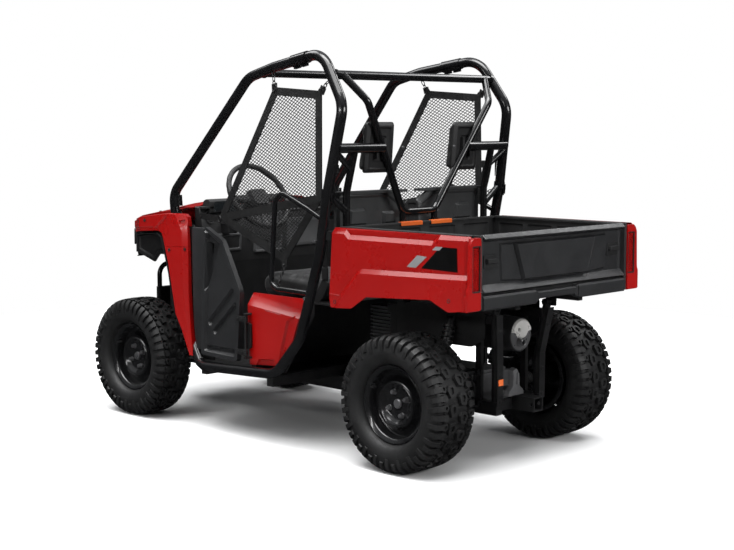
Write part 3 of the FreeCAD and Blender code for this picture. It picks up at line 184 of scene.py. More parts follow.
def spread(nodes, links, source, low, high):
    """A texture's values mapped to a range of numbers."""
    made = nodes.new("ShaderNodeMapRange")
    for field, number in (("From Min", 0.3), ("From Max", 0.7), ("To Min", low), ("To Max", high)):
        made.inputs[field].default_value = number
    links.new(source, made.inputs["Value"])
    return made.outputs[0]


def finish(name, low, high, rough, bump=(400, 0.1), patch=6, metal=0.0, coat=0.0, sheen=0.0, specular=0.5,
           grain="noise"):
    """A surface whose colour and roughness drift a little, with a fine bump of (scale, strength)."""
    material, nodes, links, shader, coords = node_material(name)
    links.new(ramp(nodes, links, noise(nodes, links, coords, patch), low, high), shader.inputs["Base Color"])
    links.new(spread(nodes, links, noise(nodes, links, coords, patch * 5), *rough),
              shader.inputs["Roughness"])
    if grain == "cells":
        height = texture(nodes, links, coords, "ShaderNodeTexVoronoi", Scale=bump[0]).outputs["Distance"]
    elif grain == "weave":
        height = weave(nodes, links, coords, bump[0])
    else:
        height = noise(nodes, links, coords, bump[0], 3.0)
    fine = nodes.new("ShaderNodeBump")
    fine.inputs["Strength"].default_value = bump[1]
    fine.inputs["Distance"].default_value = 0.001
    links.new(height, fine.inputs["Height"])
    links.new(fine.outputs[0], shader.inputs["Normal"])
    shader.inputs["Metallic"].default_value = metal
    shader.inputs["Specular IOR Level"].default_value = specular
    if coat:
        shader.inputs["Coat Weight"].default_value = coat
        shader.inputs["Coat Roughness"].default_value = 0.06
    if sheen:
        shader.inputs["Sheen Weight"].default_value = sheen
        shader.inputs["Sheen Roughness"].default_value = 0.5
    return material


def clear_cover(name, tint):
    """A tinted see-through moulding with a faintly uneven gloss."""
    material, nodes, links, shader, coords = node_material(name)
    shader.inputs["Base Color"].default_value = (*tint, 1)
    shader.inputs["Transmission Weight"].default_value = 0.92
    shader.inputs["IOR"].default_value = 1.45
    links.new(spread(nodes, links, noise(nodes, links, coords, 40), 0.02, 0.07), shader.inputs["Roughness"])
    return material


def make_materials():
    """Every finish used on the vehicle: two colours, the range of roughness and the bump."""
    return {
        "red": finish("red_plastic", (0.235, 0.0012, 0.0009), (0.265, 0.0018, 0.0013), (0.26, 0.31),
                      (200, 0.012),
                      patch=1.5, coat=0.15, specular=0.4),
        "charcoal": finish("charcoal_plastic", (0.0125, 0.0128, 0.0138), (0.017, 0.0174, 0.0186),
                           (0.34, 0.46), (700, 0.22), grain="cells"),
        "dark": finish("dark_plastic", (0.006, 0.006, 0.0065), (0.010, 0.010, 0.0105), (0.45, 0.6),
                       (600, 0.2)),
        "grey": finish("grey_plastic", (0.060, 0.061, 0.063), (0.078, 0.079, 0.081), (0.45, 0.6), (600, 0.2)),
        "frame": finish("gloss_black_paint", (0.004, 0.004, 0.0045), (0.0065, 0.0065, 0.007), (0.16, 0.22),
                        (140, 0.02), coat=0.3, specular=0.4),
        "satin": finish("satin_black_paint", (0.005, 0.005, 0.0055), (0.010, 0.010, 0.0105), (0.34, 0.5),
                        (350, 0.12)),
        "rim": finish("rim_paint", (0.0045, 0.0045, 0.005), (0.007, 0.007, 0.0075), (0.15, 0.25), (250, 0.05),
                      coat=0.4),
        "rubber": finish("tyre_rubber_finish", (0.0055, 0.0055, 0.0058), (0.010, 0.010, 0.0104), (0.46, 0.64),
                         (350, 0.35), patch=9, specular=0.45),
        "web": finish("black_webbing", (0.004, 0.004, 0.0043), (0.0075, 0.0075, 0.0078), (0.6, 0.8),
                      (420, 0.5),
                      grain="weave", specular=0.3),
        "thread": finish("net_thread", (0.006, 0.006, 0.0065), (0.010, 0.010, 0.0105), (0.6, 0.8),
                         (900, 0.3)),
        "seat": finish("seat_vinyl", (0.008, 0.008, 0.0085), (0.013, 0.013, 0.0135), (0.42, 0.6), (330, 0.35),
                       grain="cells", sheen=0.1),
        "steel": finish("worn_steel", (0.33, 0.33, 0.335), (0.50, 0.50, 0.505), (0.22, 0.4), (150, 0.1),
                        metal=1.0),
        "nut": finish("dark_plating", (0.08, 0.08, 0.083), (0.13, 0.13, 0.134), (0.24, 0.36), (200, 0.1),
                      metal=0.6),
        "shield": finish("bright_shield", (0.36, 0.355, 0.34), (0.50, 0.49, 0.475), (0.24, 0.4), (150, 0.1),
                         metal=0.35),
        "ink": finish("black_film", (0.0015, 0.0015, 0.0016), (0.003, 0.003, 0.0032), (0.3, 0.4), (300, 0.02),
                      specular=0.25),
        "zinc": finish("zinc_plate", (0.52, 0.52, 0.53), (0.66, 0.66, 0.67), (0.14, 0.26), (200, 0.08),
                       metal=1.0),
        "cast": finish("cast_alloy", (0.07, 0.07, 0.073), (0.12, 0.12, 0.124), (0.5, 0.7), (260, 0.5),
                       metal=0.6),
        "lamp": finish("red_lens", (0.17, 0.002, 0.002), (0.26, 0.004, 0.003), (0.05, 0.1), (500, 0.02),
                       coat=1.0),
        "lens": finish("clear_lens", (0.55, 0.56, 0.58), (0.72, 0.73, 0.75), (0.04, 0.08), (300, 0.03),
                       coat=1.0),
        "orange": finish("orange_plate", (0.60, 0.10, 0.012), (0.72, 0.14, 0.02), (0.35, 0.5), (300, 0.05)),
        "stripe": finish("grey_stripe", (0.17, 0.17, 0.175), (0.21, 0.21, 0.215), (0.3, 0.42), (500, 0.03)),
        "bedliner": finish("bed_plastic", (0.012, 0.012, 0.0125), (0.018, 0.018, 0.0185), (0.45, 0.6),
                           (600, 0.3),
                           grain="cells"),
        "shell": finish("seat_shell_plastic", (0.030, 0.031, 0.032), (0.040, 0.041, 0.042), (0.35, 0.5),
                        (500, 0.25),
                        grain="cells"),
        "dash": finish("dash_plastic", (0.014, 0.014, 0.0145), (0.020, 0.020, 0.0205), (0.5, 0.62),
                       (500, 0.3),
                       grain="cells"),
        "grip": finish("grip_rubber", (0.006, 0.006, 0.0063), (0.011, 0.011, 0.0114), (0.5, 0.65),
                       (450, 0.3)),
        "screen": finish("gauge_screen", (0.015, 0.018, 0.02), (0.022, 0.026, 0.028), (0.05, 0.1),
                         (300, 0.02),
                         coat=1.0),
        "glass": clear_cover("lamp_glass", (0.95, 0.96, 0.97)),
        "boot": finish("rubber_boot", (0.010, 0.010, 0.0105), (0.016, 0.016, 0.0165), (0.5, 0.7), (300, 0.2)),
        "spring": finish("spring_paint", (0.012, 0.012, 0.0125), (0.02, 0.02, 0.0205), (0.25, 0.4),
                         (300, 0.1)),
    }


# Finishes of the record's material slots; the first is for the solids that stay in view.
SLOT_FINISHES = {
    "frame_black": ("frame",),
    "panel_red": ("red",),
    "panel_charcoal": ("charcoal", "ink", "stripe", "bedliner", "shell", "dash", "grey", "screen"),
    "seat_cover": ("seat",),
    "webbing": ("web", "thread"),
    "tyre_rubber": ("rubber",),
    "rim_black": ("rim",),
    "lamp_red": ("lamp",),
    "lamp_clear": ("lens", "glass", "zinc"),
    "bare_steel": ("steel", "nut", "shield"),
    "cast_metal": ("cast",),
}
SLOT_FOR = {name: slot for slot, names in SLOT_FINISHES.items() for name in names}
OWN_FINISH = {
    "lower_frame": "satin",
    "rear_frame": "satin",
    "front_frame": "satin",
    "floor_pan": "dark",
    "seat_base": "dark",
    "skid_plate": "dark",
}

make_camera()
make_floor()
make_surroundings()
make_lights()
FINISH = make_materials()


def dress_cad():
    """A better finish on every solid that stays in view."""
    slots = {entry["node"]: entry["material_slot"] for entry in frame["record"]["subparts"]}
    for name, thing in frame["nodes"].items():
        thing.data.materials.clear()
        thing.data.materials.append(FINISH[OWN_FINISH.get(name, SLOT_FINISHES[slots[name]][0])])


dress_cad()


# Pieces
def round_edges(thing, width, segments, angle):
    """Adds a bevel, in millimetres, to edges sharper than the angle in degrees."""
    edge = thing.modifiers.new("bevel", "BEVEL")
    edge.width = width * MM
    edge.segments = segments
    edge.limit_method = "ANGLE"
    edge.angle_limit = math.radians(angle)
    return edge


def piece(name, bm, material, body="chassis", slot=None, replaces=(), smooth=32, bevel=0.0, segments=2):
    """A finished mesh that rides on a body; bevel is in millimetres."""
    bmesh.ops.recalc_face_normals(bm, faces=bm.faces)
    mesh = bpy.data.meshes.new(name)
    bm.to_mesh(mesh)
    bm.free()
    mesh.polygons.foreach_set("use_smooth", [True] * len(mesh.polygons))
    mesh.set_sharp_from_angle(angle=math.radians(smooth))
    mesh.materials.append(FINISH[material])
    thing = bpy.data.objects.new(name, mesh)
    bpy.context.collection.objects.link(thing)
    if bevel:
        round_edges(thing, bevel, segments, 28).harden_normals = True
    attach(thing, body)
    slot or SLOT_FOR.get(material, "frame_black")
    if replaces:
        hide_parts(*replaces)
    return thing


def mirrored(bm):
    """A copy of a mesh on the other side."""
    copy = bm.copy()
    bmesh.ops.scale(copy, vec=(1, -1, 1), verts=copy.verts)
    bmesh.ops.reverse_faces(copy, faces=copy.faces)
    return copy


def pair(name, bm, material, body="chassis", replaces=(), **more):
    """A left piece and its mirror image.

    A body or node ending in _ takes the side's word; other nodes go with the left piece.
    """
    for side, mesh in (("left", bm), ("right", mirrored(bm))):
        rides = body + side if body.endswith("_") else body
        gone = [n + side for n in replaces if n.endswith("_")]
        if side == "left":
            gone += [n for n in replaces if not n.endswith("_")]
        piece(f"{name}_{side}", mesh, material, rides, replaces=gone, **more)


def take(bm, other):
    """Adds another mesh to this one."""
    mesh = bpy.data.meshes.new("taken")
    other.to_mesh(mesh)
    other.free()
    bm.from_mesh(mesh)
    bpy.data.meshes.remove(mesh)


# Skins and solids, all in millimetres
def ring_faces(bm, first, second, closed=True):
    """Faces between two rings of the same count."""
    count = len(first)
    for i in range(count if closed else count - 1):
        j = (i + 1) % count
        bm.faces.new((first[i], first[j], second[j], second[i]))


def loft(bm, rings, closed=True, caps=True, looped=False):
    """A skin over rings of points, capped at its ends, or looped so that the last ring meets the first."""
    made = [[bm.verts.new(Vector(p) * MM) for p in ring] for ring in rings]
    for first, second in zip(made, made[1:]):
        ring_faces(bm, first, second, closed)
    if looped:
        ring_faces(bm, made[-1], made[0])
    elif caps:
        bm.faces.new(list(reversed(made[0])))
        bm.faces.new(made[-1])
    return made


def turns(count, start=0.0):
    """Equal angles round a circle."""
    return [start + math.tau * i / count for i in range(count)]


def disc(centre, first, second, radius, sides):
    """Points of a circle that starts in the first direction and turns towards the second."""
    return [centre + (first * math.cos(a) + second * math.sin(a)) * radius for a in turns(sides)]


def lathe(bm, profile, centre, segments=96, axis="Y", closed=True):
    """Turns (place along the axis, radius) points about a line along X, Y or Z."""
    rings = []
    for along, radius in profile:
        ring = []
        for a in turns(segments):
            across, up = radius * math.cos(a), radius * math.sin(a)
            spot = {"Y": (across, along, up), "X": (along, across, up), "Z": (across, up, along)}[axis]
            ring.append(Vector(spot) + Vector(centre))
        rings.append(ring)
    loft(bm, rings, looped=closed)


def rod(bm, profile, centre, segments=24, axis="Y"):
    """A turned solid with flat ends."""
    lathe(bm, profile, centre, segments, axis, closed=False)


def cross_axes(along):
    """Two directions square to a line."""
    side = along.cross(Vector((1, 0, 0))).normalized()
    return side, along.cross(side)


def rounded(points, bend, step=9):
    """A route of straight runs joined by arcs, as a list of points."""
    route = [Vector(p) for p in points]
    line = [route[0]]
    for before, corner, after in zip(route, route[1:], route[2:]):
        into, out = (corner - before).normalized(), (after - corner).normalized()
        half = into.angle(out) / 2
        if half < 0.01:
            continue
        reach = min((corner - before).length, (after - corner).length) * 0.45
        turn = min(bend, reach / math.tan(half))
        start = corner - into * turn * math.tan(half)
        inward = (out - into).normalized()
        centre = corner + inward * (turn / math.cos(half))
        steps = max(3, int(math.degrees(2 * half) / step))
        spin = into.cross(out).normalized()
        arm = start - centre
        line += [centre + Matrix.Rotation(2 * half * i / steps, 3, spin) @ arm for i in range(steps + 1)]
    line.append(route[-1])
    return line


def circle(radius, sides=20):
    """A round section."""
    return [(radius * math.cos(a), radius * math.sin(a)) for a in turns(sides)]


def heading(line, i):
    """The direction of a line at one of its points."""
    return (line[min(i + 1, len(line) - 1)] - line[max(i - 1, 0)]).normalized()


def sweep(bm, line, section, closed=False):
    """Carries a closed section (points across and up) along a line without twisting it."""
    line = [Vector(p) for p in line]
    rings = []
    side = None
    for i, here in enumerate(line):
        along = (line[(i + 1) % len(line)] - line[i - 1]).normalized() if closed else heading(line, i)
        if side is None:
            side = along.orthogonal().normalized()
        side = (side - along * side.dot(along)).normalized()
        lift = side.cross(along).normalized()
        rings.append([here + side * a + lift * b for a, b in section])
    loft(bm, rings, looped=closed)


def tube(bm, points, radius, bend=90, sides=20):
    """A round tube with bends."""
    sweep(bm, rounded(points, bend), circle(radius, sides))


def strap(bm, points, width, thickness=3.0, out=(0, 1, 0)):
    """Flat webbing along a line, facing the given way."""
    corners = [(a * width / 2, b * thickness / 2) for a, b in ((-1, -1), (1, -1), (1, 1), (-1, 1))]
    line = [Vector(p) for p in points]
    rings = []
    for i, here in enumerate(line):
        along = heading(line, i)
        across = along.cross(Vector(out)).normalized()
        lift = across.cross(along)
        rings.append([here + across * a + lift * b for a, b in corners])
    loft(bm, rings)


def box(bm, x, y, z):
    """A block between pairs of numbers."""
    corners = [Vector((x[i], y[j], z[k])) * MM for i in (0, 1) for j in (0, 1) for k in (0, 1)]
    v = [bm.verts.new(c) for c in corners]
    for face in ((0, 1, 3, 2), (4, 6, 7, 5), (0, 4, 5, 1), (2, 3, 7, 6), (0, 2, 6, 4), (1, 5, 7, 3)):
        bm.faces.new([v[i] for i in face])


def span(side, low, high):
    """A pair of numbers on one side of the vehicle, 1 for left and -1 for right."""
    return sorted((side * low, side * high))


def prism(bm, outline, place, low, high):
    """An outline (u, v) drawn out between two depths; place turns (u, v, depth) into a point."""
    loft(bm, [[place(u, v, depth) for u, v in outline] for depth in (low, high)])


def frustum(bm, outline, place, low, high, slope):
    """An outline drawn out to a smaller one, as a moulded boss."""
    loft(bm, [[place(u, v, low) for u, v in outline], [place(u, v, high) for u, v in inset(outline, slope)]])


# Planes that outlines are drawn in
def level(u, v, h):
    """Along and across the vehicle, drawn out upwards."""
    return u, v, h


def upright(u, v, h):
    """Along and up, drawn out across the vehicle."""
    return u, h, v


def on_side(y):
    """Along and up, drawn out to the left from a plane."""
    return lambda u, v, h: (u, y + h, v)


def facing_back(x):
    """Across and up, drawn out towards the tail from a plane."""
    return lambda u, v, h: (x - h, u, v)


# Outlines
def edges_of(outline):
    """Each side of an outline as its two ends."""
    return zip(outline, list(outline[1:]) + [outline[0]])


def area_of(outline):
    """Twice the signed area."""
    return sum(a[0] * b[1] - b[0] * a[1] for a, b in edges_of(outline))


def corners_of(outline):
    """Each corner with the ones before and after it."""
    count = len(outline)
    return [[Vector(outline[j % count]) for j in (i - 1, i, i + 1)] for i in range(count)]


def inset(outline, amount):
    """The outline moved inwards by the same amount on every side."""
    sign = 1 if area_of(outline) > 0 else -1
    made = []
    for a, b, c in corners_of(outline):
        d, e = (b - a).normalized(), (c - b).normalized()
        n, m = Vector((-d.y, d.x)) * sign, Vector((-e.y, e.x)) * sign
        grow = 1 + n.dot(m)
        made.append(tuple(b + (n + m) * (amount / max(grow, 0.25))))
    return made


def soften(outline, reach=12.0, parts=3):
    """An outline with its corners rounded."""
    made = []
    for a, b, c in corners_of(outline):
        pull = min(reach, (a - b).length * 0.4, (c - b).length * 0.4)
        start, end = b + (a - b).normalized() * pull, b + (c - b).normalized() * pull
        for k in range(parts + 1):
            t = k / parts
            made.append(tuple(start.lerp(b, t).lerp(b.lerp(end, t), t)))
    return made


def depth_in(outline, point):
    """Distance inside an outline, negative outside."""
    p = Vector(point)
    best = 1e9
    inside = False
    for a, b in edges_of(outline):
        va, vb = Vector(a), Vector(b)
        edge = vb - va
        t = max(0, min(1, (p - va).dot(edge) / max(edge.length_squared, 1e-9)))
        best = min(best, (p - va - edge * t).length)
        if (a[1] > p.y) != (b[1] > p.y) and p.x < (b[0] - a[0]) * (p.y - a[1]) / (b[1] - a[1]) + a[0]:
            inside = not inside
    return best if inside else -best


def between(line, u):
    """The value at u on a line of (u, value) points, held level past its ends."""
    line = sorted(line)
    for (a, b), (c, d) in zip(line, line[1:]):
        if a <= u <= c:
            return b + (d - b) * (u - a) / (c - a)
    return line[0][1] if u < line[0][0] else line[-1][1]


def ramped(value, reach):
    """A share that grows from 0 to 1 over a reach."""
    return max(0.0, min(1.0, value / reach))


# Moulded panels
def relief(features):
    """The height that a panel's features give at a point."""
    def height_at(p):
        return sum(height * ramped(depth_in(shape, p), max(slope, 0.01)) for shape, height, slope in features)

    return height_at


def pressed(outline, features, place, thickness, folds=()):
    """A moulded panel: each feature (outline, height, slope) is raised or sunk over a sloping edge."""
    loops = [list(outline)]
    for shape, _, slope in features:
        loops += [list(shape), inset(shape, slope)]
    points, edges = [], []
    for loop in loops:
        start = len(points)
        points += [Vector(p) for p in loop]
        edges += [(start + i, start + (i + 1) % len(loop)) for i in range(len(loop))]
    for fold in folds:
        start = len(points)
        points += [Vector(p) for p in fold]
        edges += [(start + i, start + i + 1) for i in range(len(fold) - 1)]
    verts, _, faces, *_ = geometry.delaunay_2d_cdt(points, edges, [], 0, 0.05)
    height_at = relief(features)
    bm = bmesh.new()
    made = [bm.verts.new(Vector(place(p.x, p.y, height_at(p))) * MM) for p in verts]
    for face in faces:
        middle = sum((verts[i] for i in face), Vector((0, 0))) / len(face)
        if depth_in(outline, middle) > 0:
            bm.faces.new([made[i] for i in face])
    loose = [v for v in bm.verts if not v.link_faces]
    bmesh.ops.delete(bm, geom=loose, context="VERTS")
    bmesh.ops.dissolve_limit(bm, angle_limit=math.radians(0.6), verts=bm.verts, edges=bm.edges)
    copied = bmesh.ops.duplicate(bm, geom=list(bm.faces))
    back = [g for g in copied["geom"] if isinstance(g, bmesh.types.BMFace)]
    inward = Vector(place(0, 0, -1)) - Vector(place(0, 0, 0))
    bmesh.ops.translate(bm, vec=inward.normalized() * thickness * MM,
                        verts=[g for g in copied["geom"] if isinstance(g, bmesh.types.BMVert)])
    twin = copied["vert_map"]
    rim = [e for e in bm.edges if len(e.link_faces) == 1 and e.verts[0] in twin and e.link_faces[0] not in back]
    for e in rim:
        a, b = e.verts
        if a in twin and b in twin and twin[a].is_valid:
            bm.faces.new((a, b, twin[b], twin[a]))
    return bm


def ring_plate(bm, outline, hole, place, thickness):
    """A plate with one opening."""
    sides = [flat_ring(bm, outline, hole, place, depth) for depth in (0.0, thickness)]
    for front, back in zip(*sides):
        ring_faces(bm, front, back)


def flat_ring(bm, outline, hole, place, depth):
    """A flat face with an opening, and its two loops of corners."""
    points = [Vector(p) for p in [*outline, *hole]]
    start = len(outline)
    edges = [(i, (i + 1) % start) for i in range(start)]
    edges += [(start + i, start + (i + 1) % len(hole)) for i in range(len(hole))]
    verts, _, faces, origin, *_ = geometry.delaunay_2d_cdt(points, edges, [], 0, 0.001)
    made = [bm.verts.new(Vector(place(p.x, p.y, depth)) * MM) for p in verts]
    for face in faces:
        middle = sum((verts[i] for i in face), Vector((0, 0))) / len(face)
        if depth_in(outline, middle) > 0 and depth_in(hole, middle) < 0:
            bm.faces.new([made[i] for i in face])
    place_of = {source: made[index] for index, sources in enumerate(origin) for source in sources}
    return [place_of[i] for i in range(start)], [place_of[start + i] for i in range(len(hole))]


def rings_on(bm, place, centre, profile, segments=28):
    """Rings of (height, radius) raised on the plane of a place function."""
    u, v = centre
    loft(bm, [[place(u + radius * math.cos(a), v + radius * math.sin(a), h) for a in turns(segments)]
              for h, radius in profile])


# Fasteners
def bolt(bm, spot, axis, facing, radius=7.0, height=5.0):
    """A flanged hexagon bolt head standing on a surface."""
    flange = [(-1.0, radius * 1.45), (height * 0.3, radius * 1.45), (height * 0.4, radius * 1.2)]
    head = [(height * 0.3, radius), (height * 0.85, radius), (height, radius * 0.82)]
    for rows, sides in ((flange, 20), (head, 6)):
        rod(bm, [(facing * a, r) for a, r in rows], spot, sides, axis)


# Tyres and rims
HALF_WIDTH = 635
AXLE = 303
WHEELS = {
    "front_left": (947, 203, 1), "front_right": (947, 203, -1),
    "rear_left": (-905, 254, 1), "rear_right": (-905, 254, -1),
}
TYRE_TURN = {"front_left": 0.05, "front_right": 0.13, "rear_left": 0.0, "rear_right": 0.09}
TREAD_R = 290.5
PITCHES = 23
LUG_FOOT = -2.0
LUG_DRAFT = 1.4
# Tread blocks as (across, round) on the wide tyre, with the hollow's outline and the height
BLOCKS = [
    ([(5, 18), (19, 3), (50, 7), (58, 30), (47, 60), (15, 55)],
     [(21, 23), (26, 16), (42, 18), (46, 30), (39, 47), (23, 43)], 16),
    ([(66, 44), (84, 39), (92, 52), (88, 71), (70, 74), (61, 60)], None, 15.5),
    ([(66, 4), (84, 0), (92, 13), (88, 31), (70, 35), (62, 19)],
     [(71, 12), (78, 9), (83, 15), (80, 24), (74, 26), (69, 19)], 15.6),
]
# The shoulder lug's height along its share of the way from the tread's middle to the bead
SHOULDER = [(0.33, 15.5), (0.38, 15), (0.43, 14), (0.47, 12.5), (0.50, 10), (0.53, 7.5), (0.56, 5.0),
            (0.60, 2.6)]
# The rim's section as (depth behind its face, radius); the bead's is from the inner edge
RIM_LIP = [(1, 168), (0, 171), (3, 173), (7, 172.5), (11, 169), (13, 160), (17, 152)]
RIM_BEAD = [(40, 152), (24, 156), (20, 170), (12, 171), (10, 168), (12, 152), (18, 147)]
RIM_BACK = [(68, 147), (68, 108), (52, 100), (44, 90), (49, 72), (49, 50)]
RIM_FRONT = [(38, 14.5), (38, 66), (34, 72), (24, 84), (18, 90), (16, 95), (18, 100), (26, 105), (44, 111),
             (56, 118), (60, 128), (60, 142), (56, 147), (22, 149), (14, 151), (9, 155), (6, 162)]
RIM_FACE = HALF_WIDTH - 36


def tyre_half(half):
    """The carcass from the tread's middle to the bead: (place across, radius)."""
    return [(0, 287), (half * 0.35, 287), (half * 0.62, 285.5), (half * 0.8, 281), (half - 15, 272),
            (half - 8.5, 259), (half - 4.5, 246), (half - 2, 232), (half - 3, 216), (half - 8, 200),
            (half - 17, 187), (half - 28, 179), (half - 38, 175.5), (half - 47, 174)]


def smooth_line(points, parts=4):
    """Points along a smooth curve through the given ones."""
    made = []
    count = len(points)
    for i in range(count - 1):
        p0, p1, p2, p3 = (Vector(points[max(0, min(count - 1, j))]) for j in (i - 1, i, i + 1, i + 2))
        for k in range(parts):
            t = k / parts
            made.append(0.5 * ((2 * p1) + (p2 - p0) * t + (2 * p0 - 5 * p1 + 4 * p2 - p3) * t * t
                               + (3 * p1 - p0 - 3 * p2 + p3) * t ** 3))
    made.append(Vector(points[-1]))
    return made


class Carcass:
    """Places points on a tyre's outside by distance across the tread and round it."""

    def __init__(self, half):
        self.line = smooth_line(tyre_half(half), 5)
        self.run = [0.0]
        for a, b in zip(self.line, self.line[1:]):
            self.run.append(self.run[-1] + (b - a).length)

    def at(self, s, lift):
        """The place across and the radius at a distance from the middle, lifted off the skin."""
        side = 1 if s >= 0 else -1
        s = min(abs(s), self.run[-1] - 0.01)
        k = next(i for i in range(1, len(self.run)) if self.run[i] >= s)
        part = (s - self.run[k - 1]) / (self.run[k] - self.run[k - 1])
        spot = self.line[k - 1].lerp(self.line[k], part)
        along = (self.line[k] - self.line[k - 1]).normalized()
        return side * (spot.x - along.y * lift), spot.y + along.x * lift


def lug(bm, carcass, place, stations):
    """One shoulder lug along stations of (s, a_low, a_high, height)."""
    rows = []
    last = len(stations) - 1
    for i, (s, low, high, height) in enumerate(stations):
        pull = LUG_DRAFT if i == 0 else -LUG_DRAFT if i == last else 0
        rows.append([place(carcass, s, low, LUG_FOOT), place(carcass, s + pull, low + LUG_DRAFT, height),
                     place(carcass, s + pull, high - LUG_DRAFT, height), place(carcass, s, high, LUG_FOOT)])
    loft(bm, rows, closed=False)


def block(bm, carcass, place, outline, hole, height):
    """One tread block, hollow in the middle if it has a hole."""
    loops = [(outline, LUG_FOOT), (inset(outline, 1.6), height)]
    if hole:
        loops += [(hole, height), (inset(hole, 1.4), height - 9)]
    made = [[bm.verts.new(place(carcass, s, a, lift) * MM) for s, a in loop] for loop, lift in loops]
    for first, second in zip(made, made[1:]):
        ring_faces(bm, first, second)
    bm.faces.new(made[-1])


def tread(bm, carcass, half, place):
    """The lugs of one pitch: hollow centre blocks, tie blocks and shoulder lugs."""
    wide = half / 127
    pitch = math.tau * TREAD_R / PITCHES
    for side in (1, -1):
        start = 0 if side > 0 else pitch / 2

        def at(points):
            return [(side * s * wide, start + a) for s, a in points]

        for outline, hole, height in BLOCKS:
            block(bm, carcass, place, at(outline), hole and at(hole), height)
        for low, reach in ((3, 0.60), (pitch / 2 + 2, 0.53)):
            stations = []
            for share, height in SHOULDER:
                if share <= reach + 0.001:
                    foot = start + low + (share - 0.33) * 30
                    width = 27 - (share - 0.33) * 20
                    stations.append((side * carcass.run[-1] * share * 1.08, foot, foot + width, height))
            lug(bm, carcass, place, stations)


def tyre(tag):
    """A knobby tyre replacing its solid."""
    x, width, side = WHEELS[tag]
    half = width / 2
    middle = side * (HALF_WIDTH - half)
    carcass = Carcass(half)
    bm = bmesh.new()
    line = smooth_line(tyre_half(half), 3)
    profile = [(-p.x, p.y) for p in reversed(line[1:])] + [(p.x, p.y) for p in line]
    lathe(bm, [(middle + t, r) for t, r in profile], (x, 0, AXLE), 104)
    for k in range(PITCHES):
        def place(source, s, a, lift, k=k):
            t, r = source.at(s, lift)
            angle = TYRE_TURN[tag] + math.tau * k / PITCHES + a / TREAD_R
            return Vector((x + r * math.cos(angle), middle + side * t, AXLE + r * math.sin(angle)))

        tread(bm, carcass, half, place)
    piece(f"tyre_{tag}_tread", bm, "rubber", f"wheel_{tag}", replaces=(f"tyre_{tag}",), smooth=26)


def rim(tag):
    """A pressed steel wheel with its nuts, cap and valve."""
    x, width, side = WHEELS[tag]
    hub_back = 446 if "front" in tag else 406

    def from_face(section):
        return [(side * (RIM_FACE - depth), radius) for depth, radius in section]

    bm = bmesh.new()
    bead = [(side * (HALF_WIDTH - width + a), r) for a, r in RIM_BEAD]
    hub = [(side * hub_back, 47), (side * hub_back, 14.5)]
    lathe(bm, from_face(RIM_LIP) + bead + from_face(RIM_BACK) + hub + from_face(RIM_FRONT), (x, 0, AXLE))
    piece(f"rim_{tag}_disc", bm, "rim", f"wheel_{tag}", replaces=(f"rim_{tag}",), smooth=40)
    bm = bmesh.new()
    for angle in turns(4, math.tau / 8 + 0.35):
        spot = (x + 55 * math.cos(angle), 0, AXLE + 55 * math.sin(angle))
        lathe(bm, from_face([(39, 13), (35, 13), (34, 12), (34.5, 11)]), spot, 20)
        rod(bm, from_face([(36, 10.5), (22, 10.5), (18, 8), (16, 3)]), spot, 6)
    rod(bm, from_face([(38.5, 21), (31, 21), (28, 18), (27, 8)]), (x, 0, AXLE), 32)
    piece(f"rim_{tag}_nuts", bm, "nut", f"wheel_{tag}", smooth=30)
    bm = bmesh.new()
    rod(bm, from_face([(30, 5), (12, 5), (8, 4), (2, 3.5)]), (x + 128, 0, AXLE + 62), 12)
    piece(f"rim_{tag}_valve", bm, "boot", f"wheel_{tag}", slot="tyre_rubber")


for wheel_tag in WHEELS:
    tyre(wheel_tag)
    rim(wheel_tag)


# Panels
DOOR = soften([(383, 379), (345, 1011), (215, 950), (86, 710), (113, 371)], 16)
DOOR_FIELD = soften([(362, 398), (328, 985), (228, 933), (106, 704), (131, 392)], 14)


def doors():
    """Moulded plastic doors with their recesses, hinge leaves and latch."""
    pocket = soften([(353, 676), (343, 832), (330, 936), (292, 934), (250, 914), (316, 752)], 8)
    upper = soften([(346, 545), (322, 519), (138, 694), (156, 726)], 13, 4)
    lower = soften([(308, 505), (288, 480), (122, 628), (131, 662)], 13, 4)
    foot = soften([(352, 400), (344, 430), (140, 428), (133, 399)], 7)
    notch = soften([(344, 955), (341, 992), (318, 980), (322, 948)], 5)
    features = [(DOOR_FIELD, -11, 9), (pocket, -24, 9), (upper, -15, 8), (lower, -15, 8), (foot, -10, 8),
                (notch, 9, 5)]
    bm = pressed(DOOR, features, on_side(600), 26)
    pair("door_panel", bm, "charcoal", "door_", replaces=("door_",), smooth=28, bevel=2.0, segments=3)
    bm = bmesh.new()
    for low in (408, 568):
        for k in range(3):
            z = low + 2 + k * 9.3
            lathe(bm, [(z, 6.6), (z, 12), (z + 8, 12), (z + 8, 6.6)], (42, 606, 0), 24, "Z")
        box(bm, (48, 112), (596.5, 604.5), (low + 2, low + 28))
        for x in (70, 100):
            bolt(bm, (x, 604.5, low + 15), "Y", 1, 4.5, 4)
    for z in (640, 820):
        bolt(bm, (130 + (z - 640) * 0.3, 599.5, z), "Y", 1, 3.2, 2.5)
    pair("door_hinge", bm, "dark", "door_", smooth=30, bevel=0.8)
    bm = bmesh.new()
    box(bm, (318, 344), (560, 569), (880, 930))
    tube(bm, [(330, 560, 906), (330, 548, 906), (290, 548, 884), (290, 560, 884)], 5, 10, 10)
    pair("door_latch", bm, "satin", "door_", smooth=40)


SIDE_FOLD = [(60, 650), (-330, 612)]
SIDE_CREST = [(60, 690), (-330, 640)]


def line_at(line, u):
    """The height of a straight line at a place along it."""
    (a, b), (c, d) = line
    return b + (d - b) * (u - a) / (c - a)


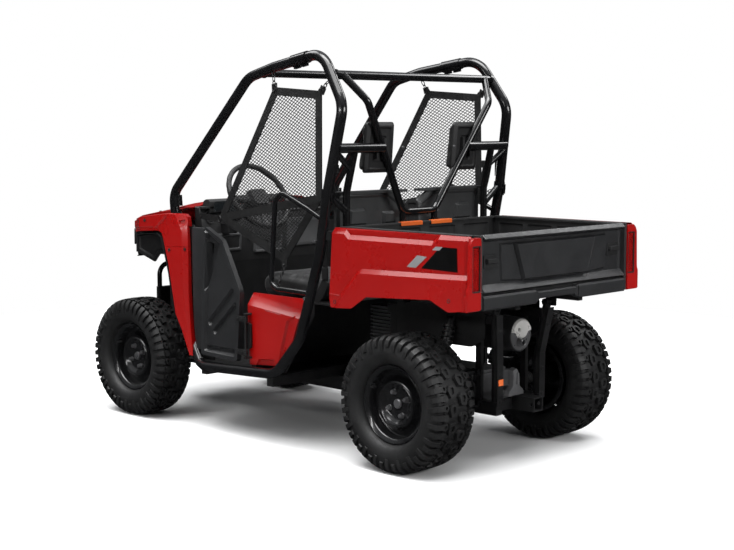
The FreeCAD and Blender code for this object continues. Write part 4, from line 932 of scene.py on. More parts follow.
def side_lean(u, v, h):
    """A point of the side panel, whose upper part leans in over two folds."""
    fold, crest = line_at(SIDE_FOLD, u), line_at(SIDE_CREST, u)
    lean = max(0.0, min(v, crest) - fold) + max(0.0, v - crest) * 0.45
    return u, 576 - lean + h, v


def side_panels():
    """Red panels under the seats and the black hinge column in front of them."""
    outline = soften([(70, 704), (-285, 701), (-312, 658), (-202, 382), (48, 364)], 7, 2)
    recess = soften([(-212, 600), (-276, 632), (-214, 462), (-150, 384), (-172, 470)], 6)
    foot = soften([(8, 352), (-16, 398), (-122, 408), (-150, 352)], 6)
    slit = [(-60, 640), (-175, 628), (-168, 622), (-66, 632)]
    features = [(recess, -10, 9), (foot, -8, 7), (slit, -2, 2)]
    bm = pressed(outline, features, side_lean, 5, folds=(SIDE_FOLD, SIDE_CREST))
    pair("side_panel", bm, "red", replaces=("side_panels",), smooth=24, bevel=1.6)
    bm = bmesh.new()
    box(bm, (10, 40), (528, 571), (335, 646))
    box(bm, (-270, 32), (505, 545), (630, 635))
    rod(bm, [(395, 6), (612, 6)], (42, 606, 0), 16, "Z")
    for low in (395, 604):
        box(bm, (30, 50), (571, 614), (low, low + 8))
    outline = soften([(24, 446), (24, 560), (36, 566), (58, 566), (62, 560), (62, 446), (58, 442),
                      (36, 442)], 2, 1)
    prism(bm, outline, upright, 580, 592)
    for k in range(4):
        x = 28 + k * 9
        prism(bm, [(x, 590), (x + 1.5, 596), (x + 4, 596), (x + 5.5, 590)], level, 446, 562)
    pair("hinge_column", bm, "dark", smooth=30, bevel=0.8)


# Cargo bed
BED_SIDE = [(-542, 1049), (-522, 734), (-531, 692), (-672, 701), (-764, 759), (-1134, 778), (-1233, 735),
            (-1298, 743), (-1321, 743), (-1321, 1049)]
BED_EDGE = [(-500, 1024), (-616, 1024), (-640, 1002), (-1128, 1003), (-1166, 1030), (-1340, 1032)]
BED_CHAMFER = 19
BED_CORNER = -1306


def bed_skin(u, v, h):
    """A point of the bed's side: upright, then a bright chamfer, then a steep lean up to the rim."""
    edge = between(BED_EDGE, u)
    top = edge + BED_CHAMFER
    lean = max(0.0, min(v, top) - edge) * 0.80 + max(0.0, v - top) * 0.55
    corner = max(0.0, BED_CORNER - u) * 0.9
    return u, 602 - lean - corner + h, v


def bed_sides():
    """Red side skins of the bed, with the stepped lower half, decal shapes and corner caps."""
    lower = [(-560, 700), (-594, 752), (-617, 782), (-700, 866), (-726, 878), (-1380, 893), (-1380, 650),
             (-560, 650)]
    folds = [BED_EDGE, [(u, v + BED_CHAMFER) for u, v in BED_EDGE],
             [(BED_CORNER, 700), (BED_CORNER, 1060)]]
    step = [(-520, 756), (-592, 752), (-592, 748), (-520, 750)]
    features = [(lower, 16, 19), (step, 3, 2)]
    bm = pressed(soften(BED_SIDE, 6, 2), features, bed_skin, 5, folds=folds)
    pair("bed_skin", bm, "red", "bed", replaces=("bed_sides",), smooth=20, bevel=1.4)

    bm = bmesh.new()
    outline = soften([(612, 745), (612, 828), (604, 845), (598, 1012), (588, 1032), (574, 1042), (527, 1042),
                      (527, 745)], 5, 2)
    hole = soften([(582, 818), (582, 1010), (529, 1010), (529, 818)], 3, 1)
    ring_plate(bm, outline, hole, facing_back(-1322), 12.5)
    box(bm, (-1322, -1300), (527, 532), (745, 1042))
    foot = [(-1329, 742), (-1333, 752), (-1333, 792), (-1318, 808), (-1300, 808), (-1300, 742)]
    prism(bm, foot, upright, 528, 611)
    head = [(-1329, 1022), (-1334, 1014), (-1334, 1011), (-1318, 1011), (-1318, 1042), (-1324, 1042)]
    prism(bm, head, upright, 530, 590)
    pair("bed_corner", bm, "red", "bed", smooth=24, bevel=3.2, segments=3)

    bm = bmesh.new()
    black = [(-1268, 1000), (-1176, 1000), (-1072, 905), (-1272, 901)]
    prism(bm, black, on_side(602.2), 0, 0.5)
    pair("side_decal_dark", bm, "ink", "bed")
    bm = bmesh.new()
    prism(bm, [(-1103, 955), (-1049, 958), (-990, 906), (-1041, 905)], on_side(602.2), 0, 0.5)
    prism(bm, [(-1152, 1001), (-1190, 1001), (-1172, 985), (-1133, 985)], on_side(602.3), 0, 0.6)
    pair("side_decal_grey", bm, "stripe", "bed")
    bm = bmesh.new()
    for u, v, y in ((-556, 719, 602), (-1237, 782, 618)):
        rod(bm, [(y - 2, 9), (y + 0.6, 9), (y + 1.4, 7), (y - 1, 5)], (u, 0, v), 16)
    pair("bed_side_screws", bm, "dark", "bed")


FACET = 9
FACET_ROWS = 20
FACET_COLUMNS = 4


def tail_lamps():
    """Upright lamp lenses with a pattern of small facets in a dark surround."""
    bm = bmesh.new()
    for row in range(FACET_ROWS):
        for col in range(FACET_COLUMNS):
            y, z = 536 + col * 10.2, 825 + row * 9.0
            frustum(bm, [(y, z), (y + FACET, z), (y + FACET, z + 8), (y, z + 8)], facing_back(-1326), 0, 4.2,
                    2.6)
    box(bm, (-1327, -1322.5), (532, 579), (821, 1008))
    pair("tail_lamp_lens", bm, "lamp", "bed", replaces=("tail_lamps",), smooth=10)
    bm = bmesh.new()
    outline = [(582, 818), (582, 1010), (529, 1010), (529, 818)]
    ring_plate(bm, outline, inset(outline, 5), facing_back(-1328), 5.4)
    pair("tail_lamp_frame", bm, "dark", "bed", bevel=1.0)
    bm = bmesh.new()
    for y, z in ((540, 1014), (572, 1014), (540, 813), (572, 813)):
        bolt(bm, (-1329, y, z), "X", -1, 2.8, 2.5)
    pair("tail_lamp_screws", bm, "dark", "bed", smooth=30)


GATE_PLANE = -1307
GATE_LIMIT = -1334.5
GATE_FOLD = 1036


def gate_point(u, v, h):
    """A point of the tailgate's face, whose lip leans in towards its top."""
    return GATE_PLANE - h + max(0.0, v - GATE_FOLD) * 1.1, u, v


def tailgate():
    """The tailgate's pressed face, leaning lip, raised centre with its flanks, handles and pins."""
    outline = soften([(-503, 812), (503, 812), (503, 1052), (-503, 1052)], 4, 2)
    lip = [(-520, 1020), (520, 1020), (520, 1100), (-520, 1100)]
    ends = [[(s * 488, 780), (s * 488, 1100), (s * 530, 1100), (s * 530, 780)] for s in (-1, 1)]
    foot = [(-530, 760), (530, 760), (530, 843), (-530, 843)]
    raised = [(-228, 843), (228, 843), (292, 1009), (-292, 1009)]
    features = [(lip, 26, 13), (foot, 25, 29), (raised, 19, 9)]
    features += [([(s * 228, 843), (s * 372, 852), (s * 382, 1011), (s * 292, 1009)], 8, 7) for s in (-1, 1)]
    features += [(end, 2, 3) for end in ends]
    bm = pressed(outline, features, gate_point, 7, folds=[[(-503, GATE_FOLD), (503, GATE_FOLD)]])
    for v in bm.verts:
        v.co.x = max(v.co.x, GATE_LIMIT * MM)
    piece("tailgate_panel", bm, "charcoal", "tailgate", replaces=("tailgate",), smooth=24, bevel=2.2)
    bm = bmesh.new()
    for s in (1, -1):
        shape = [(s * 388, 908), (s * 400, 964), (s * 482, 966), (s * 482, 908)]
        prism(bm, soften(shape, 7, 2), facing_back(GATE_PLANE), 0, 4)
        grip = [(s * 402, 928), (s * 406, 952), (s * 472, 953), (s * 472, 928)]
        frustum(bm, soften(grip, 5, 2), facing_back(GATE_PLANE - 4), 0, 14, 3)
    for s in (1, -1):
        rod(bm, [(s * 500, 5), (s * 516, 5)], (-1324, 0, 814), 16)
    piece("tailgate_handles", bm, "dark", "tailgate", smooth=30, bevel=1.2)
    bm = bmesh.new()
    box(bm, (-1304, -1299), (-498, 498), (816, 1044))
    for k in range(9):
        y = -440 + k * 110
        rib = [(y - 12, -1300), (y - 7, -1296), (y + 7, -1296), (y + 12, -1300)]
        prism(bm, rib, lambda u, v, h: (v, u, h), 824, 1040)
    piece("tailgate_back", bm, "dark", "tailgate", slot="panel_charcoal", bevel=1.5)


def bed_box():
    """Plastic tub with ribbed floor and walls, and its rim."""
    bm = bmesh.new()
    ribs = []
    for k in range(9):
        y = -452 + k * 113
        ribs.append(([(-1306, y - 24), (-1306, y + 24), (-572, y + 24), (-572, y - 24)], 7, 7))
    floor = [(-1315, -515), (-1315, 515), (-540, 515), (-540, -515)]
    take(bm, pressed(floor, ribs, lambda u, v, h: (u, v, 783 + h), 18))
    wall = pressed([(-515, 780), (515, 780), (515, 1049), (-515, 1049)],
                   [(soften([(y - 95, 815), (y + 95, 815), (y + 95, 1022), (y - 95, 1022)], 10), -7, 7)
                    for y in (-375, -125, 125, 375)], facing_back(-552), 12)
    take(bm, wall)
    box(bm, (-560, -540), (-525, 525), (1041, 1050))
    for s in (1, -1):
        side = pressed([(-1300, 780), (-552, 780), (-552, 1046), (-1300, 1046)],
                       [(soften([(x, 815), (x + 150, 815), (x + 150, 1018), (x, 1018)], 10), -6, 7)
                        for x in (-1262, -1086, -910, -734)], lambda u, v, h, s=s: (u, s * (513 - h), v), 12)
        take(bm, side)
        box(bm, (-1285, -540), span(s, 505, 553), (1040, 1050))
        box(bm, (-1327, -1280), span(s, 508.5, 526), (745, 1050))
        box(bm, (-1320, -1280), span(s, 526, 590), (757, 977))
    box(bm, (-1299, -1286), (-506, 506), (778, 809))
    piece("bed_tub", bm, "bedliner", "bed", replaces=("bed_box",), smooth=26, bevel=2.0)


def bed_sill():
    """The sill under the tailgate, with its step."""
    bm = bmesh.new()
    sill_side = [(-1331, 738), (-1335, 744), (-1335, 790), (-1328, 800), (-1300, 800), (-1300, 738)]
    sill_mid = [(-1327, 757), (-1330, 762), (-1330, 784), (-1322, 792), (-1300, 792), (-1300, 757)]
    for s in (1, -1):
        prism(bm, sill_side, upright, *span(s, 152, 507))
        wedge = [(s * 152, 740), (s * 152, 799), (s * 138, 791), (s * 126, 757)]
        prism(bm, wedge, lambda u, v, h: (h, u, v), -1331, -1300)
    prism(bm, sill_mid, upright, -150, 150)
    for s in (1, -1):
        prism(bm, [(-1300, 740), (-1300, 762), (-1262, 762), (-1270, 740)], upright, *span(s, 160, 500))
    piece("bed_sill", bm, "charcoal", "bed", smooth=24, bevel=2.4)


def bed_rails():
    """Steel rails under the bed, with the hinge pins."""
    bm = bmesh.new()
    for s in (1, -1):
        box(bm, (-1290, -570), span(s, 210, 240), (715, 765))
        box(bm, (-1160, -1106), span(s, 210, 222), (680, 765))
        rod(bm, [(s * 163, 8), (s * 222, 8)], (-1133, 0, 700), 20)
        bolt(bm, (-1133, s * 222, 700), "Y", s, 9, 7)
    box(bm, (-640, -600), (-240, 240), (690, 765))
    for x in (-1230, -1000, -800):
        box(bm, (x, x + 34), (-500, 500), (742, 766))
    piece("bed_rails", bm, "satin", "bed", bevel=1.2)


def bed_plates():
    """Blank plates on the bed's front wall."""
    bm = bmesh.new()
    for y in (100, -110):
        plate_shape = soften([(-561, y - 74), (-561, y + 74), (-541, y + 74), (-541, y - 74)], 2, 1)
        prism(bm, plate_shape, level, 1050, 1052.5)
        front = [(y - 74, 1034), (y + 74, 1034), (y + 74, 1050), (y - 74, 1050)]
        prism(bm, front, facing_back(-560), 0, 2)
    piece("bed_plates", bm, "orange", "bed", slot="panel_charcoal", bevel=0.8)


doors()
side_panels()
bed_sides()
tail_lamps()
tailgate()
bed_box()
bed_sill()
bed_rails()
bed_plates()


# Front bodywork
FENDER_PLAN = [(400, 600), (870, 600), (1040, 472), (1156, 413)]
FENDER_CREST = [(508, 1005), (514, 1045), (536, 1056), (580, 1057), (634, 1057), (752, 1044), (861, 1030),
                (870, 1029), (955, 1018), (1040, 1005), (1155, 988)]
FENDER_ARCH = [(1155, 930), (1040, 943), (892, 958), (870, 960), (714, 970), (690, 958), (680, 937),
               (663, 880), (640, 807), (617, 703), (586, 558), (538, 482), (480, 362), (463, 360)]
FENDER_REAR = [(463, 360), (485, 510), (498, 676), (500, 881), (508, 1005)]


def fenders():
    """Front fenders: wheel arch wall, flat top up to the hood and the turned-in rear edge."""
    heel = [(679, 1150), (573, 1044), (530, 974), (526, 700), (504, 480), (474, 330), (300, 330), (300, 1150)]
    brow = [(1300, 1100), (640, 1100), (640, 1046), (700, 1003), (722, 985), (880, 975), (1300, 935)]
    slot = soften([(520, 1006), (524, 1033), (556, 1029), (552, 1003)], 4)
    seam = [(650, 893), (650, 890), (400, 905), (400, 908)]
    features = [(heel, -26, 44), (brow, 6, 8), (slot, -9, 4), (seam, -2.5, 1.2)]
    height_at = relief(features)

    def place(u, v, h):
        return u, between(FENDER_PLAN, u) - 6 + h, v

    outline = FENDER_CREST + FENDER_ARCH + FENDER_REAR[1:-1]
    bm = pressed(outline, features, place, 5, folds=[[(870, 960), (870, 1029)], [(1040, 943), (1040, 1005)]])
    inner = [(456, 546), (580, 546), (634, 561), (752, 545), (861, 523), (870, 520), (955, 492), (1040, 460),
             (1155, 408)]
    rows = []
    for u, v in FENDER_CREST:
        edge = Vector(place(u, v, height_at(Vector((u, v)))))
        shoulder = Vector((u, edge.y - 10, v + 4)) if u > 520 else Vector((u + 1, edge.y - 6, v + 2))
        inside = Vector((u, between(inner, u), v + (3 if u > 520 else -2)))
        rows.append([edge - Vector((0, 2.5, 0)), shoulder, shoulder.lerp(inside, 0.5), inside,
                     inside - Vector((0, 0, 5)), shoulder - Vector((0, 2, 6)), edge - Vector((0, 7.5, 5))])
    top = bmesh.new()
    loft(top, rows)
    take(bm, top)
    back = []
    for u, v in FENDER_REAR:
        y = place(u, v, height_at(Vector((u + 3, v))))[1]
        back.append([(u, y, v), (u + 6, 556, v), (u + 11, 556, v), (u + 5, y, v)])
    rear = bmesh.new()
    loft(rear, back)
    take(bm, rear)
    for v in bm.verts:
        v.co.y = min(v.co.y, 0.6)
    pair("fender_shell", bm, "red", replaces=("fender_",), smooth=22, bevel=2.6, segments=3)
    bm = bmesh.new()
    for u, v, y in ((629, 877, 597), (516, 886, 589), (818, 1016, 603.5), (960, 1000, 531)):
        rod(bm, [(y - 3, 7.5), (y + 0.8, 7.5), (y + 1.8, 5), (y - 0.5, 4)], (u, 0, v), 16)
    pair("fender_screws", bm, "dark")
    bm = bmesh.new()
    liner = [(1148, 915), (900, 945), (728, 956), (700, 940), (668, 850), (640, 760), (604, 580), (556, 500)]
    rows = [[(u, 596 if u < 870 else between(FENDER_PLAN, u) - 9, v), (u, 405, v - 4), (u, 405, v - 8),
             (u, 594 if u < 870 else between(FENDER_PLAN, u) - 11, v - 4)] for u, v in liner]
    loft(bm, rows)
    pair("fender_liner", bm, "dark", smooth=40)


def pillar_trim():
    """Moulded trim between the door's front edge and the fender, and the footwell's side behind it."""
    outline = soften([(399, 400), (436, 400), (452, 510), (460, 676), (462, 881), (464, 1000), (361, 1000)],
                     10)
    bm = pressed(outline, [(outline, 4, 9)], on_side(584), 8)
    pair("pillar_trim", bm, "charcoal", smooth=30, bevel=1.5)
    outline = soften([(395, 325), (590, 325), (590, 440), (560, 500), (560, 640), (612, 800), (612, 1000),
                      (540, 1000), (500, 700), (395, 700)], 12)
    bm = pressed(outline, [(outline, 3, 8)], on_side(503), 4)
    pair("kick_panel", bm, "dark", slot="panel_charcoal", smooth=30, bevel=1.0)


HOOD_STATIONS = [(618, 563, 1130, 1042), (800, 535, 1105, 1018), (1000, 476, 1070, 995),
                 (1150, 405, 1032, 960.3), (1225, 330, 992, 960.3), (1290, 240, 980, 960.3),
                 (1332, 112, 972, 960.3)]
HOOD_HALF = 563


def hood_line(x):
    """The hood's half width, its crown and its skirt's foot at a place along the vehicle."""
    return [between([(row[0], row[k]) for row in HOOD_STATIONS], x) for k in (1, 2, 3)]


def hood_point(x, share):
    """A point on the hood: share runs from one side to the other, -1 to 1."""
    half, crown, _ = hood_line(x)
    across = half * share
    bulge = 7.0 * ramped(0.60 - abs(share), 0.06) * ramped(1180 - x, 60)
    valley = -6.0 * ramped(0.10 - abs(abs(share) - 0.76), 0.05) * ramped(1120 - x, 60)
    return Vector((x, across, crown - 7 - 48 * (across / HOOD_HALF) ** 2 + bulge + valley))


def on_hood(u, v, h):
    """Along and across the vehicle, drawn out upwards from the hood."""
    return u, v, h + hood_point(u, v / HOOD_HALF).z


def hood():
    """The hood's crowned skin with a raised middle and two valleys, its skirt, latch and front vent."""
    shares = [-1, -0.97, -0.9, -0.86, -0.81, -0.71, -0.66, -0.60, -0.54, -0.36, -0.18]
    shares = shares + [0] + [-s for s in reversed(shares)]
    stations = [618, 660, 720, 800, 870, 940, 1000, 1060, 1120, 1150, 1185, 1225, 1260, 1290, 1332]
    bm = bmesh.new()
    rows = []
    for x in stations:
        row = [hood_point(x, s) for s in shares]
        skirt = max(hood_line(x)[2], row[0].z - 34)
        rows.append([Vector((x, row[0].y + 1, skirt))] + row + [Vector((x, row[-1].y - 1, skirt))])
    loft(bm, rows, closed=False, caps=False)
    shell = piece("hood_shell", bm, "red", replaces=("hood",), smooth=26)
    thicken(shell, 4, 2.0)
    bm = bmesh.new()
    for s in (1, -1):
        outline = soften([(640, 490), (760, 480), (770, 455), (650, 462)], 6, 2)
        prism(bm, [(u, s * v) for u, v in outline], on_hood, 2, 5)
        tube(bm, [(604, s * 556, 1062), (604, s * 556, 1098), (620, s * 545, 1108)], 6, 8, 12)
    for k in range(5):
        x = 676 + k * 18
        prism(bm, [(x, -120), (x + 8, -120), (x + 8, 120), (x, 120)], on_hood, -2, 2)
    for s in (1, -1):
        for x in (830, 1090):
            bolt(bm, hood_point(x, s * 0.93), "Z", 1, 6, 4)
    piece("hood_trim", bm, "dark", smooth=30, bevel=0.8)


def thicken(thing, gauge, bevel):
    """Gives an open skin its thickness inwards, then rounds its edges."""
    shell = thing.modifiers.new("shell", "SOLIDIFY")
    shell.thickness = gauge * MM
    shell.offset = -1
    round_edges(thing, bevel, 2, 30)


NOSE_PLAN = [(1150, 405), (1225, 330), (1290, 240), (1335, 112)]


def fascia():
    """Nose panel with its grille opening."""
    line = [Vector((x, y)) for x, y in NOSE_PLAN] + [Vector((x, -y)) for x, y in reversed(NOSE_PLAN)]
    heights = [(800, -14), (812, -5), (838, -2), (846, 0), (868, 0), (876, -7), (944, -7), (951, 0),
               (960, -3)]
    bm = bmesh.new()
    rows = []
    for p in line:
        inward = (Vector((900, 0)) - p).normalized()
        rows.append([(*(p - inward * h), z) for z, h in heights])
    loft(bm, rows, closed=False, caps=False)
    middle = [f for f in bm.faces if abs(f.calc_center_median().y) < 0.05
              and 0.83 < f.calc_center_median().z < 0.945]
    bmesh.ops.inset_region(bm, faces=middle, thickness=0.012, depth=-0.010)
    bmesh.ops.delete(bm, geom=[f for f in middle if f.is_valid], context="FACES")
    shell = piece("fascia_shell", bm, "dark", slot="panel_charcoal", replaces=("front_fascia",), smooth=26)
    thicken(shell, 4, 1.5)


def grille():
    """Grille bars, the lower grille and the shelf between them."""
    bm = bmesh.new()
    for z in (842, 862, 882, 902, 922, 940):
        prism(bm, [(1331, z), (1318, z + 3), (1318, z + 8), (1331, z + 6)], upright, -112, 112)
    for y in (-60, 0, 60):
        box(bm, (1312, 1320), (y - 3, y + 3), (836, 950))
    for z in (640, 672, 704, 736, 766):
        prism(bm, [(1212, z), (1204, z + 4), (1204, z + 18), (1212, z + 16)], upright, -112, 112)
    lower = pressed([(-112, 430), (112, 430), (112, 640), (-112, 640)],
                    [(soften([(-90, 455), (90, 455), (90, 615), (-90, 615)], 12), -6, 8)],
                    lambda u, v, h: (1209 + h, u, v), 5)
    take(bm, lower)
    for s in (1, -1):
        box(bm, (1203, 1211), span(s, 100, 112), (636, 800))
    outer = [(x, y - 2) for x, y in NOSE_PLAN]
    prism(bm, outer + [(x, -y) for x, y in reversed(outer)], level, 800, 805)
    piece("grille_bars", bm, "satin", smooth=30, bevel=1.2)


def lamp_housings():
    """Side housings behind the headlamps."""
    outline = [(1150, 960), (1147, 824), (995, 779), (952, 824), (900, 824), (900, 960)]
    bm = pressed(soften(outline, 8, 2), [(soften([(1130, 945), (1128, 840), (1000, 800), (965, 842),
                                                  (915, 842), (915, 945)], 8), -5, 8)], on_side(405), 6)
    box(bm, (1136, 1152), (396, 408), (824, 960))
    pair("lamp_housing", bm, "dark", slot="panel_charcoal", smooth=26, bevel=1.5)


def headlamps():
    """Bezel, lens and bowl of each headlamp, square to the nose's corner."""
    near, out = Vector((1161, 394)), Vector((1214, 341))
    along = (out - near).normalized()
    normal = Vector((-along.y, along.x))

    def lamp(u, v, h):
        p = near + along * u + normal * h
        return p.x, p.y, v

    bm = bmesh.new()
    width = (out - near).length
    shape = soften([(0, 862), (width, 862), (width, 948), (0, 948)], 12)
    ring_plate(bm, shape, inset(shape, 7), lambda u, v, h: lamp(u, v, 15 - h), 14)
    for v in (884, 926):
        rings_on(bm, lamp, (width / 2, v), [(1, 19), (3, 19), (4, 15), (1.5, 6)])
    pair("headlamp_bezel", bm, "satin", slot="lamp_clear", replaces=("headlamps",), smooth=30)
    bm = bmesh.new()
    frustum(bm, inset(shape, 7), lamp, 10, 14, 3)
    pair("headlamp_lens", bm, "glass", smooth=30)
    bm = bmesh.new()
    frustum(bm, inset(shape, 8), lamp, 0.5, 2, 3)
    pair("headlamp_bowl", bm, "zinc", smooth=30)


# Seats
PAD_PRESSURE = 4
PAD_FRAMES = 20


def blown(name, bm, voxel, cap, limits):
    """A pad swollen by cloth pressure from a slightly smaller solid, kept inside its limits."""
    bmesh.ops.recalc_face_normals(bm, faces=bm.faces)
    mesh = bpy.data.meshes.new(name)
    bm.to_mesh(mesh)
    bm.free()
    thing = bpy.data.objects.new(name, mesh)
    bpy.context.collection.objects.link(thing)
    remesh = thing.modifiers.new("remesh", "REMESH")
    remesh.mode = "VOXEL"
    remesh.voxel_size = voxel * MM
    mesh = settle(thing)
    start = [v.co.copy() for v in mesh.vertices]
    cloth = thing.modifiers.new("cloth", "CLOTH")
    cloth.settings.use_pressure = True
    cloth.settings.uniform_pressure_force = PAD_PRESSURE
    cloth.settings.effector_weights.gravity = 0
    cloth.point_cache.frame_start = 1
    cloth.point_cache.frame_end = PAD_FRAMES
    scene = bpy.context.scene
    for frame_number in range(1, PAD_FRAMES + 1):
        scene.frame_set(frame_number)
    mesh = settle(thing)
    scene.frame_set(1)
    for vertex, before in zip(mesh.vertices, start):
        move = vertex.co - before
        if move.length > cap * MM:
            vertex.co = before + move.normalized() * cap * MM
        for axis, (low, high) in enumerate(limits):
            vertex.co[axis] = min(max(vertex.co[axis], low * MM), high * MM)
    return thing


def settle(thing):
    """Bakes an object's modifiers into its mesh."""
    bpy.context.view_layer.update()
    found = thing.evaluated_get(bpy.context.evaluated_depsgraph_get())
    mesh = bpy.data.meshes.new_from_object(found)
    thing.modifiers.clear()
    thing.data = mesh
    return mesh


def channel(thing, test, depth, width):
    """Sews a groove: points near a line sink along their normal."""
    mesh = thing.data
    moves = []
    for vertex in mesh.vertices:
        gap = test(vertex.co / MM)
        if gap < width:
            moves.append((vertex.index, vertex.normal * (-depth * MM * (1 - gap / width) ** 1.5)))
    for index, move in moves:
        mesh.vertices[index].co += move


def pad_pair(name, thing, body, replaces):
    """Finishes a left pad, copies it to the right, attaches both to the body and hides the solids they replace.
    """
    mesh = thing.data
    mesh.materials.append(FINISH["seat"])
    mesh.polygons.foreach_set("use_smooth", [True] * len(mesh.polygons))
    other = bpy.data.objects.new("copy", mesh.copy())
    bpy.context.collection.objects.link(other)
    for vertex in other.data.vertices:
        vertex.co.y = -vertex.co.y
    other.data.flip_normals()
    for side, pad in (("left", thing), ("right", other)):
        pad.name = f"{name}_{side}"
        soft = pad.modifiers.new("smooth", "SUBSURF")
        soft.levels = soft.render_levels = 1
        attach(pad, body)
        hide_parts(f"{replaces}_{side}")


def profile_pad(outline, low, high, shrink):
    """A pad's starting solid from its side outline, smaller than the finished pad."""
    bm = bmesh.new()
    middle, half = (low + high) / 2, (high - low) / 2 - shrink
    shape = soften(inset(outline, shrink), 22, 4)
    tight = soften(inset(outline, shrink + 14), 18, 4)
    rows = []
    for y, loop in ((-half, tight), (-half + 5, inset(shape, 6)), (-half + 14, shape), (half - 14, shape),
                    (half - 5, inset(shape, 6)), (half, tight)):
        rows.append([(u, middle + y, v) for u, v in loop])
    loft(bm, rows)
    return bm


def cushions():
    """Seat cushions with their sewn channels."""
    outline = [(-385, 690), (78, 690), (88, 768), (48, 799), (-395, 777)]
    thing = blown("cushion", profile_pad(outline, 42, 502, 12), 8, 24,
                  ((-396, 90), (43, 501), (689, 802)))
    across = [-300, -190, -80, 10]

    def cushion_seams(p):
        if p.z < 745:
            return 99
        gaps = [abs(p.y - 150), abs(p.y - 394)]
        if 150 < p.y < 394:
            gaps += [abs(p.x - x) for x in across]
        return min(gaps)

    channel(thing, cushion_seams, 7, 9)
    channel(thing, lambda p: abs(p.z - 716), 3, 7)
    pad_pair("seat_pad", thing, "chassis", "seat_cushion")


def backs():
    """Seat backs with their sewn channels."""
    outline = [(-440, 700), (-399, 700), (-398, 800), (-406, 1150), (-428, 1188), (-446, 1188)]
    thing = blown("backrest", profile_pad(outline, 48, 496, 8), 8, 16, ((-444, -396), (50, 494), (692, 1192)))

    def back_seams(p):
        if p.x < -425:
            return 99
        gaps = [abs(p.y - 150), abs(p.y - 394)]
        if 150 < p.y < 394:
            gaps += [abs(p.z - z) for z in (830, 920, 1010, 1100)]
        return min(gaps)

    channel(thing, back_seams, 6, 9)
    pad_pair("back_pad", thing, "chassis", "seat_back")


def headrests():
    """Headrests and the hard shells behind them."""
    outline = [(-520, 1286), (-476, 1286), (-470, 1312), (-494, 1488), (-508, 1508), (-536, 1508)]
    thing = blown("headrest", profile_pad(outline, 214, 384, 6), 6, 10,
                  ((-538, -468), (213, 385), (1283, 1512)))
    channel(thing, lambda p: min(abs(p.y - 246), abs(p.y - 352)) if p.x > -512 else 99, 4, 8)
    pad_pair("headrest_pad", thing, "chassis", "headrest")

    bm = bmesh.new()
    shell = soften([(214, 1283), (384, 1283), (390, 1310), (388, 1500), (378, 1513), (220, 1513), (210, 1500),
                    (208, 1310)], 16)
    field = soften([(232, 1300), (366, 1300), (370, 1320), (366, 1490), (232, 1490), (228, 1320)], 14)
    dip = soften([(258, 1330), (342, 1330), (342, 1450), (258, 1450)], 12)

    def back_of_head(u, v, h):
        return -530 - (v - 1283) * 0.085 - h, u, v

    take(bm, pressed(shell, [(shell, 8, 16), (field, -5, 8), (dip, -4, 6)], back_of_head, 14))
    for y in (268, 318):
        box(bm, (-556, -536), (y, y + 14), (1345, 1440))
    pair("headrest_shell", bm, "dark", slot="panel_charcoal", smooth=34, bevel=1.5)


def seat_shells():
    """Hard shells behind the seat backs."""
    outline = soften([(45, 720), (498, 720), (498, 1180), (484, 1200), (150, 1200), (100, 1176), (60, 1150),
                      (45, 1140)], 14)
    field = soften([(66, 750), (480, 750), (480, 1160), (466, 1176), (160, 1176), (112, 1150), (70, 1126)],
                   12)
    blocks = [soften([(300, 1040), (430, 1040), (420, 1120), (320, 1120)], 10),
              soften([(110, 1040), (200, 1040), (200, 1100), (120, 1100)], 10)]
    features = [(outline, 6, 14), (field, -6, 10)] + [(b, 16, 12) for b in blocks]
    bm = pressed(outline, features, facing_back(-462), 16)
    box(bm, (-482, -440), (46, 497), (1186, 1198))
    pair("seat_shell", bm, "shell", smooth=30, bevel=2.0)


def seat_divider():
    """The moulded panel that closes the gap between the two seat backs."""
    outline = soften([(-47, 700), (47, 700), (47, 1128), (30, 1146), (-30, 1146), (-47, 1128)], 8)
    features = [(inset(outline, 14), -6, 8)]
    bm = pressed(outline, features, facing_back(-468), 10)
    piece("seat_divider", bm, "dark", slot="panel_charcoal", smooth=30, bevel=1.5)


def belts():
    """Seat belts from the pillars, with their buckles and reels."""
    bm = bmesh.new()
    strap(bm, [(-484, 540, 1300), (-476, 534, 1240), (-462, 522, 1160), (-402, 506, 1080), (-394, 503, 960),
               (-396, 503, 850), (-398, 504, 790)], 46, 1.6, (0.3, 1, 0))
    strap(bm, [(-398, 504, 790), (-380, 508, 750), (-352, 508, 715), (-330, 508, 692)], 46, 1.6, (0, 1, 0))
    strap(bm, [(-440, 34, 688), (-400, 34, 740), (-372, 34, 790), (-352, 34, 830)], 46, 1.8, (0, 1, 0))
    pair("belt_webbing", bm, "web", smooth=50)
    bm = bmesh.new()
    prism(bm, soften([(-374, 812), (-330, 798), (-306, 868), (-350, 882)], 6, 2), upright, 22, 40)
    prism(bm, soften([(-412, 800), (-376, 800), (-376, 852), (-412, 852)], 4, 2), upright, 499, 509)
    box(bm, (-500, -462), (516, 552), (1286, 1322))
    pair("belt_buckle", bm, "dark", smooth=40, bevel=1.5)


# Dash and steering
def dash():
    """Dash with its top shelf."""
    outline = [(617, 1088), (583, 1086), (566, 1040), (553, 965), (556, 900), (561, 800), (566, 800),
               (617, 981)]
    bm = bmesh.new()
    rows = []
    for y in (-440, -436, 436, 440):
        grow = 3 if abs(y) == 440 else 0
        rows.append([(u, y, v) for u, v in inset(outline, grow)])
    loft(bm, rows)
    shelf = soften([(556, -436), (616, -436), (616, 436), (556, 436)], 8, 2)
    prism(bm, shelf, level, 1078, 1087)
    piece("dash_body", bm, "dash", replaces=("dash",), smooth=30, bevel=5.0, segments=3)


def dash_face(u, v, h):
    """Across and up on the dash's leaning face, drawn out towards the seats."""
    lean = (v - 965) * 0.22 if v > 965 else (965 - v) * 0.05
    return 554 + lean - h, u, v


